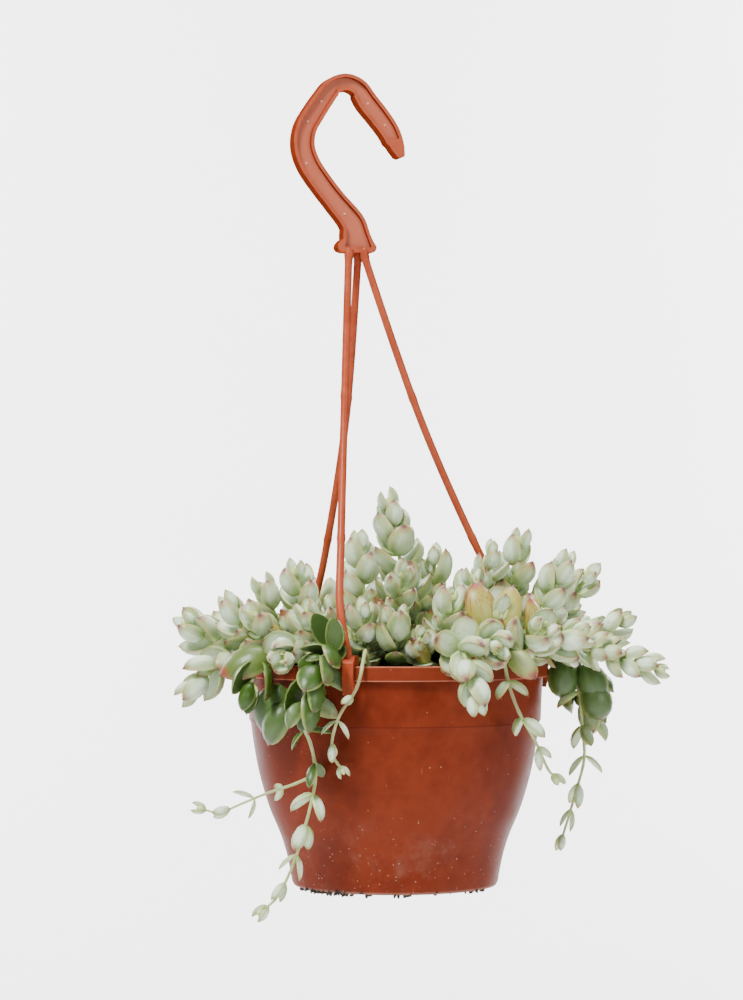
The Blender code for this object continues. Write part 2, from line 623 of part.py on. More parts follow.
def stem_of(row):
    name, points, pairs, longest, first, kinds, phase = row
    trailing = name.startswith("trail")
    rooted = len(points[0]) == 2
    root = []
    if rooted:
        x, y = points[0]
        ground = SOIL_EDGE + soil_lift(Vector((x, y, SOIL_EDGE)))
        root = [Vector((x, y, ground - ROOT_DEPTH)), Vector((x, y, ground - 1.0))]
        points = [Vector((x, y, ground + 2.0))] + list(points[1:])
    rest = smooth_route(points, 2 * len(points) if trailing else len(points) + 2)
    radius = STEM_RADIUS["branch" if not rooted else "trailing" if trailing else "upright"]
    return {"name": name, "route": root + rest, "radius": radius, "pairs": pairs, "rooted": rooted,
            "leafy": rest, "longest": longest, "first": first, "kinds": kinds, "phase": phase,
            "sides": TRAIL_SIDES if trailing else STEM_SIDES}


def node_of(stem):
    return "stem_" + stem["name"].split("/")[0]


def stem_shape(stem, grow=0.0):
    """A stem that thins towards its tip."""
    route = stem["route"]
    last = len(route) - 1
    radii = [stem["radius"] * (1.0 - STEM_THINNING * i / last) + grow for i in range(last + 1)]
    return tube(route, radii, stem["sides"])


def leaf_sizes(stem):
    """Share along the stem, tilt from it, length and kind of each pair of leaves."""
    rows = []
    pairs = stem["pairs"]
    oldest, swell, drop = LEAF_SIZES
    for k in range(pairs):
        part = k / max(pairs - 1, 1)
        share = stem["first"] + (LAST_PAIR - stem["first"]) * part ** CROWDING
        tilt = math.radians(FIRST_TILT + (LAST_TILT - FIRST_TILT) * part)
        tilt *= SPREADS.get(stem["name"], 1.0)
        size = oldest + swell * math.sin(math.pi * part) - drop * part ** DROP_CURVE
        kinds = stem["kinds"]
        kind = kinds[min(int(part * len(kinds)), len(kinds) - 1)]
        rows.append((share, tilt, stem["longest"] * size, "bud" if k == pairs - 1 else kind))
    return rows


def leaves_of(stem, keeper):
    """The placed leaves of one stem, each turned or shortened where it would touch another."""
    draw = random.Random(stem["name"])
    own = Keeper()
    leaves = []
    for k, (share, tilt, length, kind) in enumerate(leaf_sizes(stem)):
        for side in (0, 1):
            foot, axis = route_at(stem["leafy"], share)
            hint = side_of(axis, Vector((0.0, -1.0, 0.2)))
            turn = math.radians(stem["phase"] + 90 * k + 180 * side)
            turn += draw.uniform(-TURN_DRAW, TURN_DRAW)
            around = Matrix.Rotation(turn, 3, axis) @ hint
            size = length * draw.uniform(*SIZE_DRAW)
            lean = tilt + draw.uniform(-TILT_DRAW, TILT_DRAW)
            for give_tilt, give_roll, give_size in GIVING_WAY:
                place = leaf_matrix(foot, axis, around, lean + math.radians(give_tilt),
                                    math.radians(give_roll))
                leaf = placed(leaf_shape(kind, size * give_size), place)
                if own.touches(None, blade_of(leaf)):
                    continue
                guard = placed(leaf_shape(kind, size * give_size, LEAF_CLEARANCE), place)
                if keeper.touches(node_of(stem), guard):
                    continue
                keeper.add(node_of(stem), leaf)
                own.add(stem["name"], blade_of(leaf))
                leaves.append(leaf)
                break
    return leaves


def place_stems(keeper, stems):
    """Keeps the pot, the rods, the clips and every stem, and then the soil they stand in."""
    back = to_pot().inverted()
    keeper.add("pot", pot_shape())
    for points in ROD_ROUTES:
        keeper.add("hanger", placed(rod_shape(points), back))
    for angle in CLIP_ANGLES:
        keeper.add("hanger", placed(clip_shape(angle), back))
    for stem in stems:
        keeper.add(node_of(stem), stem_shape(stem))
    keeper.add("soil", soil_shape())


def make_plant(stems):
    keeper = Keeper()
    place_stems(keeper, stems)
    pieces = {}
    for stem in stems:
        shapes = [stem_shape(stem)] + leaves_of(stem, keeper)
        pieces.setdefault(node_of(stem), []).extend(shapes)
    for name, shapes in pieces.items():
        green = plain_material(name.replace("_", " "), (0.46, 0.55, 0.40), 0.6)
        body = make_object(name, placed(shapes[0], to_pot()), green)
        joined(body, [make_object("leaf", placed(shape, to_pot())) for shape in shapes[1:]])
        lightened(body, KEPT_FACES)
        body.data.shade_smooth()
        body.data.set_sharp_from_angle(angle=math.radians(SOFT_CREASE))


def main():
    for obj in list(bpy.data.objects):
        bpy.data.objects.remove(obj, do_unlink=True)
    stems = [stem_of(row) for row in SHOOTS]
    make_pot()
    make_hanger()
    make_plant(stems)
    make_soil(stems)


main()
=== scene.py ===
# The looks of a trailing cotyledon in a hanging plastic pot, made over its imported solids.
# Plant and pot sizes are millimetres from the pot's axis and rim top, turned to metres by toPot.

import math
import random

import bpy
from mathutils import Matrix, Vector
from mathutils.bvhtree import BVHTree


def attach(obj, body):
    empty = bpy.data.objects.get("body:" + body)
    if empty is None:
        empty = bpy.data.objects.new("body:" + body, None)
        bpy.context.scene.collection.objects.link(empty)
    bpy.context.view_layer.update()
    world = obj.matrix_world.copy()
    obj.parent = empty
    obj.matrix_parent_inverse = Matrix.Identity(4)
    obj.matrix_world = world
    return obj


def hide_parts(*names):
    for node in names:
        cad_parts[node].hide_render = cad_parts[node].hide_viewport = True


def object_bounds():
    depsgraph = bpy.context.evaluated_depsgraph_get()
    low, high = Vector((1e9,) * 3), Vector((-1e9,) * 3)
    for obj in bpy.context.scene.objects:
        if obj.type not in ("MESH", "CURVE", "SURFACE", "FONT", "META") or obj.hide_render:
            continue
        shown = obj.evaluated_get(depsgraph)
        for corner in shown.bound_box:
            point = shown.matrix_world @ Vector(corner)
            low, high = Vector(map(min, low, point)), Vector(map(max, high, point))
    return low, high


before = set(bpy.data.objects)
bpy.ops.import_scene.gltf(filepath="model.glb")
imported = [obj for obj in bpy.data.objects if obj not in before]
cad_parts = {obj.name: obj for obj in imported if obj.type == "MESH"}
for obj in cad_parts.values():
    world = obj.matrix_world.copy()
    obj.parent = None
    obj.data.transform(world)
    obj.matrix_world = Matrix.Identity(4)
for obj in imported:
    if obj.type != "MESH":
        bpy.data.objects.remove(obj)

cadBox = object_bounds()
mm = 0.001
potAxis = Vector((23.2, 9.0, 0.0))
rimHeight = -258.9   # of the rim's top, below the seat of the hook
toPot = Matrix.Scale(mm, 4) @ Matrix.Translation(potAxis + Vector((0.0, 0.0, rimHeight)))


# Small helpers for work in the viewport

def clearSelection():
    if bpy.context.object and bpy.context.object.mode != "OBJECT":
        bpy.ops.object.mode_set(mode="OBJECT")
    bpy.ops.object.select_all(action="DESELECT")


def selectOnly(piece):
    clearSelection()
    piece.select_set(True)
    bpy.context.view_layer.objects.active = piece


def applyModifiers(piece):
    selectOnly(piece)
    for modifier in list(piece.modifiers):
        bpy.ops.object.modifier_apply(modifier=modifier.name)


def addBevel(piece, width, segments, angle):
    bevel = piece.modifiers.new("softEdges", "BEVEL")
    bevel.width = width
    bevel.segments = segments
    bevel.limit_method = "ANGLE"
    bevel.angle_limit = math.radians(angle)
    bevel.use_clamp_overlap = True


def placeInMesh(piece, matrix=None):   # the object ends at the origin, unturned and unscaled
    if matrix:
        piece.matrix_world = matrix @ piece.matrix_world
    selectOnly(piece)
    bpy.ops.object.transform_apply(location=True, rotation=True, scale=True)


def joinPieces(pieces, name):
    clearSelection()
    for piece in pieces:
        piece.select_set(True)
    bpy.context.view_layer.objects.active = pieces[0]
    if len(pieces) > 1:
        bpy.ops.object.join()
    whole = bpy.context.object
    whole.name = name
    whole.data.name = name
    return whole


def shadeSmooth(piece, angle):
    selectOnly(piece)
    bpy.ops.object.shade_smooth_by_angle(angle=math.radians(angle))


def evenNormals(piece, angle):   # flat faces stay flat beside their bevels
    shadeSmooth(piece, angle)
    piece.modifiers.new("evenNormals", "WEIGHTED_NORMAL").keep_sharp = True
    applyModifiers(piece)


def drawPlate(name, outline, depth, thickness):   # an outline in the XZ plane, pulled along Y
    clearSelection()
    bpy.ops.mesh.primitive_circle_add(vertices=len(outline), radius=1.0, fill_type="NGON")
    plate = bpy.context.object
    plate.name = name
    for vert, (x, z) in zip(plate.data.vertices, outline):
        vert.co = (x, depth, z)
    bpy.ops.object.mode_set(mode="EDIT")
    bpy.ops.mesh.select_all(action="SELECT")
    bpy.ops.mesh.extrude_region_move(TRANSFORM_OT_translate={"value": (0.0, thickness, 0.0)})
    bpy.ops.mesh.select_all(action="SELECT")
    bpy.ops.mesh.normals_make_consistent(inside=False)
    bpy.ops.object.mode_set(mode="OBJECT")
    return plate


def cutWith(piece, cutters):
    cutter = joinPieces(cutters, "cutter")
    cut = piece.modifiers.new("cut", "BOOLEAN")
    cut.operation = "DIFFERENCE"
    cut.object = cutter
    applyModifiers(piece)
    bpy.data.objects.remove(cutter)


def coverWith(piece, material):   # the only material of the whole piece
    piece.data.materials.clear()
    piece.data.materials.append(material)


def copyOf(piece, name):
    other = piece.copy()
    other.data = piece.data.copy()
    other.name = name
    bpy.context.scene.collection.objects.link(other)
    return other


def pullRings(name, profile, sides):   # a circle pulled up ring by ring, from (radius, height) pairs
    clearSelection()
    radius, height = profile[0]
    bpy.ops.mesh.primitive_circle_add(vertices=sides, radius=radius, fill_type="NGON",
                                      location=(0.0, 0.0, height))
    piece = bpy.context.object
    piece.name = name
    bpy.ops.object.mode_set(mode="EDIT")
    for (radius, height), (nextRadius, nextHeight) in zip(profile, profile[1:]):
        bpy.ops.mesh.extrude_region_move(
            TRANSFORM_OT_translate={"value": (0.0, 0.0, nextHeight - height)})
        grow = nextRadius / radius
        bpy.ops.transform.resize(value=(grow, grow, 1.0), center_override=(0.0, 0.0, nextHeight))
    bpy.ops.mesh.select_all(action="SELECT")
    bpy.ops.mesh.normals_make_consistent(inside=False)
    bpy.ops.object.mode_set(mode="OBJECT")
    return piece


def drawTube(name, points, radii, roundness):   # a curve with its own thickness at each point
    clearSelection()
    bpy.ops.curve.primitive_bezier_curve_add()
    tube = bpy.context.object
    tube.name = name
    tube.data.splines.clear()
    spline = tube.data.splines.new("POLY")
    spline.points.add(len(points) - 1)
    for spot, point, radius in zip(spline.points, points, radii):
        spot.co = (*point, 1.0)
        spot.radius = radius
    tube.data.bevel_depth = 1.0
    tube.data.bevel_resolution = roundness
    tube.data.use_fill_caps = True
    bpy.ops.object.convert(target="MESH")
    return bpy.context.object


routeSteps = 12   # fine steps between two given points


def smoothRoute(points, count):   # evenly spaced points on a smooth curve through the given ones
    pts = [Vector(p) for p in points]
    pts = [2 * pts[0] - pts[1]] + pts + [2 * pts[-1] - pts[-2]]
    fine = []
    for a, b, c, d in zip(pts, pts[1:], pts[2:], pts[3:]):
        for i in range(routeSteps):
            t = i / routeSteps
            fine.append(0.5 * (2 * b + (c - a) * t + (2 * a - 5 * b + 4 * c - d) * t * t
                               + (3 * b - a - 3 * c + d) * t ** 3))
    fine.append(pts[-2])
    lengths = [0.0]
    for a, b in zip(fine, fine[1:]):
        lengths.append(lengths[-1] + (b - a).length)
    route = []
    k = 0
    for i in range(count):
        want = lengths[-1] * i / (count - 1)
        while k < len(fine) - 2 and lengths[k + 1] < want:
            k += 1
        part = (want - lengths[k]) / max(lengths[k + 1] - lengths[k], 1e-9)
        route.append(fine[k].lerp(fine[k + 1], min(part, 1.0)))
    return route


# Camera

cameraSettings = {"place": (0.0125, -1.290, -0.2115), "pitch": 91.15, "lens": 102.3,
                  "sensor": 36.0}


def setCamera():
    clearSelection()
    bpy.ops.object.camera_add(location=cameraSettings["place"],
                              rotation=(math.radians(cameraSettings["pitch"]), 0.0, 0.0))
    camera = bpy.context.object
    camera.name = "photoCamera"
    camera.data.sensor_fit = "VERTICAL"
    camera.data.sensor_height = cameraSettings["sensor"]
    camera.data.lens = cameraSettings["lens"]
    bpy.context.scene.camera = camera


setCamera()
print("camera set")


# Shader nodes

def addNode(tree, kind, inputs=None, **settings):   # an input is a value or another node's socket
    node = tree.nodes.new(kind)
    for name, value in settings.items():
        setattr(node, name, value)
    for key, value in (inputs or {}).items():
        if isinstance(value, bpy.types.NodeSocket):
            tree.links.new(value, node.inputs[key])
        else:
            node.inputs[key].default_value = value
    return node


def mixColours(tree, amount, first, second):
    return addNode(tree, "ShaderNodeMix", {0: amount, 6: first, 7: second},
                   data_type="RGBA").outputs[2]


def calculate(tree, operation, first, second=0.0, clamp=False):
    return addNode(tree, "ShaderNodeMath", {0: first, 1: second}, operation=operation,
                   use_clamp=clamp).outputs[0]


def times(tree, first, second, clamp=False):
    return calculate(tree, "MULTIPLY", first, second, clamp)


def layOver(tree, below, mask, share, colour):   # a colour over part of another, where the mask is
    return mixColours(tree, times(tree, mask, share), below, colour)


def stepUp(tree, value, low, high, bottom=0.0, top=1.0):   # a soft step between two values
    return addNode(tree, "ShaderNodeMapRange", {"Value": value, "From Min": low, "From Max": high,
                                                "To Min": bottom, "To Max": top},
                   interpolation_type="SMOOTHSTEP").outputs["Result"]


def spanOf(tree, value, bottom, top):   # a mask of 0 to 1 as a range of other values
    return addNode(tree, "ShaderNodeMapRange", {"Value": value, "To Min": bottom, "To Max": top}
                   ).outputs["Result"]


def noiseAt(tree, place, scale, detail=2.0, roughness=0.5):
    return addNode(tree, "ShaderNodeTexNoise", {"Vector": place, "Scale": scale, "Detail": detail,
                                                "Roughness": roughness}).outputs["Fac"]


def objectPlace(tree):
    return addNode(tree, "ShaderNodeTexCoord").outputs["Object"]


def heightOf(tree, place):
    return addNode(tree, "ShaderNodeSeparateXYZ", {"Vector": place}).outputs["Z"]


def startGroup(name, inputs, outputs):
    group = bpy.data.node_groups.new(name, "ShaderNodeTree")
    for label, kind, value in inputs:
        socket = group.interface.new_socket(name=label, in_out="INPUT", socket_type=kind)
        if value is not None:
            socket.default_value = value
    for label, kind in outputs:
        group.interface.new_socket(name=label, in_out="OUTPUT", socket_type=kind)
    return group, group.nodes.new("NodeGroupInput"), group.nodes.new("NodeGroupOutput")


def makeMottleGroup():   # cloudy change between two colours at a large and a small scale
    group, given, result = startGroup(
        "cloudyMottle",
        (("Place", "NodeSocketVector", None), ("Scale", "NodeSocketFloat", 40.0),
         ("Light", "NodeSocketColor", None), ("Deep", "NodeSocketColor", None)),
        (("Colour", "NodeSocketColor"), ("Mask", "NodeSocketFloat")))
    place, scale = given.outputs["Place"], given.outputs["Scale"]
    wide = noiseAt(group, place, scale, 4.0, 0.62)
    fine = noiseAt(group, place, times(group, scale, 7.0), 3.0)
    both = calculate(group, "ADD", times(group, wide, 0.7), times(group, fine, 0.3))
    mask = stepUp(group, both, 0.36, 0.64)
    group.links.new(mixColours(group, mask, given.outputs["Deep"], given.outputs["Light"]),
                    result.inputs["Colour"])
    group.links.new(mask, result.inputs["Mask"])
    return group


def makeSpeckGroup():   # scattered round specks, fewer where Amount is small
    group, given, result = startGroup(
        "scatteredSpecks",
        (("Place", "NodeSocketVector", None), ("Scale", "NodeSocketFloat", 300.0),
         ("Amount", "NodeSocketFloat", 0.3), ("Size", "NodeSocketFloat", 0.3)),
        (("Mask", "NodeSocketFloat"),))
    cells = addNode(group, "ShaderNodeTexVoronoi", {"Vector": given.outputs["Place"],
                                                    "Scale": given.outputs["Scale"]})
    chosen = addNode(group, "ShaderNodeSeparateColor", {"Color": cells.outputs["Color"]})
    kept = calculate(group, "LESS_THAN", chosen.outputs["Red"], given.outputs["Amount"])
    size = times(group, given.outputs["Size"], chosen.outputs["Green"])
    inside = calculate(group, "SUBTRACT", size, cells.outputs["Distance"])
    group.links.new(times(group, stepUp(group, inside, 0.0, 0.12), kept), result.inputs["Mask"])
    return group


mottleGroup = makeMottleGroup()
speckGroup = makeSpeckGroup()


def mottled(tree, place, scale, light, deep):
    return addNode(tree, "ShaderNodeGroup", {"Place": place, "Scale": scale, "Light": light,
                                             "Deep": deep}, node_tree=mottleGroup)


def speckled(tree, place, scale, amount, size):
    return addNode(tree, "ShaderNodeGroup", {"Place": place, "Scale": scale, "Amount": amount,
                                             "Size": size}, node_tree=speckGroup).outputs["Mask"]


def startMaterial(name, roughness):
    material = bpy.data.materials.new(name)
    material.use_nodes = True
    tree = material.node_tree
    shader = tree.nodes["Principled BSDF"]
    shader.inputs["Roughness"].default_value = roughness
    return material, tree, shader


def addRelief(tree, shader, height, distance, strength):
    bump = addNode(tree, "ShaderNodeBump", {"Height": height, "Distance": distance,
                                            "Strength": strength})
    tree.links.new(bump.outputs["Normal"], shader.inputs["Normal"])


# Plastic of the pot and of the hanger

def dullOutline(tree, shader, level, least):   # old plastic shines little where it turns away
    grazing = addNode(tree, "ShaderNodeLayerWeight", {"Blend": 0.5}).outputs["Facing"]
    tree.links.new(stepUp(tree, grazing, 0.20, 0.55, level, least),
                   shader.inputs["Specular IOR Level"])


# "line" is a painted shade line under the wall's small step, "rim" is a painted top light on the rim
# band, and "edge" is painted highlights on the rim's edges
potPlastic = {"light": (0.164, 0.022, 0.007, 1.0), "deep": (0.112, 0.013, 0.004, 1.0),
              "lime": (0.42, 0.25, 0.18, 1.0), "scratch": (0.40, 0.13, 0.075, 1.0),
              "line": (0.080, 0.008, 0.003, 1.0), "rim": (0.165, 0.026, 0.010, 1.0),
              "edge": (0.470, 0.165, 0.100, 1.0), "shine": (0.80, 0.45, 0.36, 1.0),
              "stepShadeLine": -26.6, "rimFoot": (-6.6, -6.2), "rimHighlightLines": (-6.35, -0.2)}


def bandAt(tree, height, middle, reach):   # a line around the pot, in mm below the rim's top
    off = calculate(tree, "ABSOLUTE", calculate(tree, "SUBTRACT", height,
                                                (rimHeight + middle) * mm))
    return stepUp(tree, off, reach * mm, 0.4 * reach * mm)


def makePotPlastic():
    material, tree, shader = startMaterial("potPlastic", 0.42)
    dullOutline(tree, shader, 0.24, 0.07)
    shader.inputs["Specular Tint"].default_value = potPlastic["shine"]
    place = objectPlace(tree)
    mottle = mottled(tree, place, 26.0, potPlastic["light"], potPlastic["deep"])
    height = heightOf(tree, place)
    foot = (rimHeight + potShape["foot"][-1][1]) * mm
    lowDown = stepUp(tree, height, foot + 0.050, foot + 0.004)   # dried water marks near the foot
    veil = times(tree, stepUp(tree, noiseAt(tree, place, 55.0, 6.0, 0.7), 0.48, 0.78), lowDown)
    colour = layOver(tree, mottle.outputs["Colour"], veil, 0.20, potPlastic["lime"])
    dots = speckled(tree, place, 820.0, spanOf(tree, lowDown, 0.03, 0.26), 0.36)
    colour = layOver(tree, colour, dots, 0.55, potPlastic["lime"])
    foothold = stepUp(tree, height, foot + 0.0016, foot + 0.0004)   # the worn edge it stands on
    colour = layOver(tree, colour, foothold, 0.35, potPlastic["lime"])
    stretched = addNode(tree, "ShaderNodeMapping", {"Vector": place, "Rotation": (0.35, 0.5, 0.2),
                                                    "Scale": (1.0, 1.0, 0.05)}).outputs["Vector"]
    scratches = times(tree, stepUp(tree, noiseAt(tree, stretched, 900.0, 1.0), 0.70, 0.78),
                      stepUp(tree, noiseAt(tree, place, 34.0), 0.52, 0.66))
    colour = layOver(tree, colour, scratches, 0.5, potPlastic["scratch"])
    # painted shade: a dark line just under the small step in the wall
    stepShadeLine = bandAt(tree, height, potPlastic["stepShadeLine"], 0.35)
    colour = layOver(tree, colour, stepShadeLine, 0.8, potPlastic["line"])
    # painted top light: the rim band above its foot is painted lighter and more orange than the wall
    low, high = ((rimHeight + offset) * mm for offset in potPlastic["rimFoot"])
    colour = layOver(tree, colour, stepUp(tree, height, low, high), 0.55, potPlastic["rim"])
    # painted highlights: lighter lines along the rim's lower edge and along its top
    low, high = potPlastic["rimHighlightLines"]
    edges = calculate(tree, "MAXIMUM", bandAt(tree, height, low, 0.35),
                      bandAt(tree, height, high, 0.3))
    colour = layOver(tree, colour, edges, 0.6, potPlastic["edge"])
    tree.links.new(colour, shader.inputs["Base Color"])
    rough = calculate(tree, "ADD", spanOf(tree, mottle.outputs["Mask"], 0.40, 0.52),
                      times(tree, veil, 0.3), clamp=True)
    tree.links.new(rough, shader.inputs["Roughness"])
    relief = calculate(tree, "ADD", noiseAt(tree, place, 1400.0), times(tree, dots, 1.5))
    addRelief(tree, shader, relief, 0.00006, 0.6)
    return material


# "wall" is the colour of painted shade on the side walls of the recesses and of the plate
hangerPlastic = {"light": (0.370, 0.066, 0.026, 1.0), "deep": (0.290, 0.045, 0.017, 1.0),
                 "web": (0.390, 0.092, 0.048, 1.0), "wall": (0.150, 0.016, 0.004, 1.0),
                 "shine": (0.80, 0.42, 0.32, 1.0), "webDepth": 1.8, "foot": -72.0}


def makeHangerPlastic():
    material, tree, shader = startMaterial("hangerPlastic", 0.4)
    dullOutline(tree, shader, 0.40, 0.0)
    shader.inputs["Specular Tint"].default_value = hangerPlastic["shine"]
    place = objectPlace(tree)
    mottle = mottled(tree, place, 48.0, hangerPlastic["light"], hangerPlastic["deep"])
    turn = plateShape["turn"]
    outward = (-math.sin(turn), math.cos(turn), 0.0)   # out of the plate's broad faces
    deep, facing = (
        calculate(tree, "ABSOLUTE", addNode(tree, "ShaderNodeVectorMath", {0: value, 1: outward},
                                            operation="DOT_PRODUCT").outputs["Value"])
        for value in (place, addNode(tree, "ShaderNodeNewGeometry").outputs["Normal"]))
    foot = hangerPlastic["foot"]
    onPlate = stepUp(tree, heightOf(tree, place), (foot - 1.0) * mm, foot * mm)
    web = times(tree, stepUp(tree, facing, 0.85, 0.95),
                calculate(tree, "LESS_THAN", deep, hangerPlastic["webDepth"] * mm))
    # painted shade: the side walls of the recesses and of the plate are darkened
    paintedShadeWalls = times(tree, stepUp(tree, facing, 0.55, 0.25), 0.8)
    colour = layOver(tree, mottle.outputs["Colour"], web, onPlate, hangerPlastic["web"])
    colour = layOver(tree, colour, paintedShadeWalls, onPlate, hangerPlastic["wall"])
    tree.links.new(colour, shader.inputs["Base Color"])
    tree.links.new(spanOf(tree, mottle.outputs["Mask"], 0.28, 0.40), shader.inputs["Roughness"])
    addRelief(tree, shader, noiseAt(tree, place, 900.0, 3.0), 0.00005, 0.5)
    return material


# The pot

potShape = {
    "sides": 128,
    "wall": ((46.9, -99.8), (49.0, -88.9), (52.2, -78.4), (57.2, -66.5), (61.5, -52.3),
             (64.0, -40.0), (65.8, -27.6)),
    "rim": ((66.5, -26.4), (66.9, -17.0), (67.4, -6.6), (70.0, -6.6), (70.0, -0.6), (69.4, 0.0)),
    "foot": ((30.0, -99.8), (42.8, -99.8), (43.6, -101.4), (46.0, -101.4)),
    "wallPoints": 22, "wallThickness": 1.3, "innerReach": (-96.0, -29.0),
    "inside": ((66.1, 0.0), (66.1, -6.0), (65.2, -20.0)),
    "floorInside": -98.5, "floorRadii": (45.2, 20.0), "softEdge": 0.3,
    "drainHoles": 6, "drainRadius": 3.5, "drainCircle": 31.0, "drainSides": 24, "drainCut": 8.0,
    "roughRim": ((66.5, -26.4), (67.4, -6.6), (70.0, -6.6), (70.0, 0.0), (66.1, 0.0),
                 (65.2, -20.0)),   # above the wall, for the tests of what touches what
    "roughSides": 36,
}


def modelPot():
    wall = [(p.x, p.z) for p in smoothRoute([(r, 0, z) for r, z in potShape["wall"]],
                                            potShape["wallPoints"])]
    low, high = potShape["innerReach"]
    inner = [(r - potShape["wallThickness"], z) for r, z in reversed(wall) if low < z < high]
    floor = potShape["floorInside"]
    profile = (list(potShape["foot"]) + wall + list(potShape["rim"]) + list(potShape["inside"])
               + inner[::2] + [(radius, floor) for radius in potShape["floorRadii"]])
    pot = pullRings("potMoulding", profile, potShape["sides"])
    clearSelection()
    holes = []
    for i in range(potShape["drainHoles"]):
        turn = 2 * math.pi * (i + 0.5) / potShape["drainHoles"]
        bpy.ops.mesh.primitive_cylinder_add(
            vertices=potShape["drainSides"], radius=potShape["drainRadius"],
            depth=potShape["drainCut"], location=(potShape["drainCircle"] * math.cos(turn),
                                                  potShape["drainCircle"] * math.sin(turn), floor))
        holes.append(bpy.context.object)
    cutWith(pot, holes)
    addBevel(pot, potShape["softEdge"], 2, 28)
    applyModifiers(pot)
    placeInMesh(pot, toPot)
    evenNormals(pot, 30)
    coverWith(pot, makePotPlastic())
    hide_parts("pot")
    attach(pot, "root")


modelPot()
print("pot modelled")


# The hanger

plateShape = {   # the middle line, with widths, in the plate's own plane
    "line": ((5.1, -66.0, 13.3), (3.3, -59.2, 11.2), (-4.4, -50.2, 9.9), (-11.7, -41.4, 9.8),
             (-17.2, -33.4, 9.9), (-19.8, -25.4, 9.9), (-18.8, -17.5, 9.8), (-15.0, -10.6, 9.7),
             (-10.2, -3.4, 9.2), (-6.2, 1.6, 8.8), (0.2, 4.0, 8.4), (6.2, 1.8, 8.8),
             (10.4, -4.0, 9.7), (15.8, -10.2, 9.6), (21.0, -17.0, 9.0), (24.0, -23.4, 7.8),
             (26.0, -28.2, 4.8)),
    "steps": 96, "thickness": 7.0, "turn": math.radians(18.0), "rimWidth": 1.75, "recess": 2.0,
    "rightLobe": ((13.0, -67.8), (14.5, -70.0), (14.4, -71.6), (13.3, -72.8), (11.2, -73.2)),
    "leftLobe": ((-1.0, -73.2), (-3.0, -72.6), (-4.0, -71.2), (-3.8, -69.4), (-2.2, -67.4)),
    "webFoot": ((12.1, -70.6), (-0.5, -70.6)),
    "seatGroove": (6.3, -4.6, 0.8),   # half its length, its lowest height, its depth
    "tipStep": (6, 0.7),              # stations that it spans, its depth
    "solidTip": 6,                    # stations without a web
    "tipLength": 1.1, "tipCorner": 0.24, "lobePoints": 12, "softEdge": 0.35,
}


def plateEdges(inset, count):   # both edges of the plate, an inset in from its outline
    stations = smoothRoute([(x, width, z) for x, z, width in plateShape["line"]],
                           plateShape["steps"])
    reach, low, depth = plateShape["seatGroove"]
    span, step = plateShape["tipStep"]
    inner, outer = [], []
    for i in range(count):
        before, after = stations[max(i - 1, 0)], stations[min(i + 1, len(stations) - 1)]
        along = Vector((after.x - before.x, after.z - before.z)).normalized()
        across = Vector((along.y, -along.x))
        middle = Vector((stations[i].x, stations[i].z))
        half = stations[i].y / 2 - inset
        groove = depth if abs(middle.x) < reach and middle.y > low else 0.0
        groove += step if i >= len(stations) - span else 0.0
        inner.append(middle + across * (half - groove))
        outer.append(middle - across * half)
    return inner, outer


def lobe(points):
    return [(p.x, p.z) for p in smoothRoute([(x, 0.0, z) for x, z in points],
                                            plateShape["lobePoints"])]


def modelPlate():
    inner, outer = plateEdges(0.0, plateShape["steps"])
    tipInner, tipOuter = inner[-1], outer[-1]
    beyond = (inner[-1] - inner[-3]).normalized() * plateShape["tipLength"]
    corner = plateShape["tipCorner"]
    tip = [tipInner.lerp(tipOuter, share) + beyond for share in (corner, 1.0 - corner)]
    outline = inner + tip + list(reversed(outer)) + list(reversed(lobe(plateShape["leftLobe"])))
    outline += list(reversed(lobe(plateShape["rightLobe"])))
    half = plateShape["thickness"] / 2
    plate = drawPlate("hookPlate", outline, -half, 2 * half)
    inner, outer = plateEdges(plateShape["rimWidth"], plateShape["steps"] - plateShape["solidTip"])
    web = inner[:-2] + list(reversed(outer)) + list(reversed(plateShape["webFoot"]))
    depth = plateShape["recess"]
    cutWith(plate, [drawPlate("recess", web, -half - 1.0, 1.0 + depth),
                    drawPlate("recess", web, half - depth, 1.0 + depth)])
    addBevel(plate, plateShape["softEdge"], 2, 40)
    applyModifiers(plate)
    placeInMesh(plate, Matrix.Scale(mm, 4) @ Matrix.Rotation(plateShape["turn"], 4, "Z"))
    return plate


rodShape = {
    "routes": (
        ((2.6, -1.6, -71.5), (2.0, -3.0, -80.0), (0.2, -18.0, -150.2), (-0.9, -38.0, -203.1),
         (-1.2, -51.0, -233.3), (3.0, -57.0, -257.0)),
        ((9.8, 0.6, -71.5), (11.0, 1.4, -80.0), (35.1, 10.0, -148.8), (61.5, 18.0, -208.3),
         (78.6, 21.5, -238.0), (88.6, 23.9, -257.0)),
        ((6.2, 3.0, -71.5), (6.0, 4.4, -80.0), (0.6, 25.0, -148.1), (-9.8, 45.0, -212.9),
         (-16.6, 52.6, -238.0), (-22.2, 58.2, -257.0))),
    "radius": 1.75, "points": 96, "roundness": 6,
    "knots": ((-138.7, 0.3, 1.5), (-203.1, 0.28, 1.5), (-73.7, 0.5, 2.5)),   # height, swell, reach
}


def modelRods():
    rods = []
    for points in rodShape["routes"]:
        route = smoothRoute(points, rodShape["points"])
        radii = []
        for point in route:
            radius = rodShape["radius"]
            for height, swell, reach in rodShape["knots"]:   # two moulding marks and the root
                radius += swell * math.exp(-((point.z - height) / reach) ** 2)
            radii.append(radius)
        rod = drawTube("rod", route, radii, rodShape["roundness"])
        placeInMesh(rod, Matrix.Scale(mm, 4))
        rods.append(rod)
    return rods


clipShape = {
    "outline": ((63.6, -7.5), (65.4, -7.5), (65.4, 0.3), (70.35, 0.3), (70.35, -6.95),
                (67.9, -6.95), (67.9, -8.2), (69.6, -9.6), (70.2, -12.6), (71.3, -12.6),
                (72.4, -7.0), (72.4, 1.6), (70.8, 3.2), (69.4, 4.6), (64.6, 4.6), (63.6, 3.2)),
    "width": 5.2, "angles": (253.0, 13.0, 133.0), "softEdge": 0.35,
}


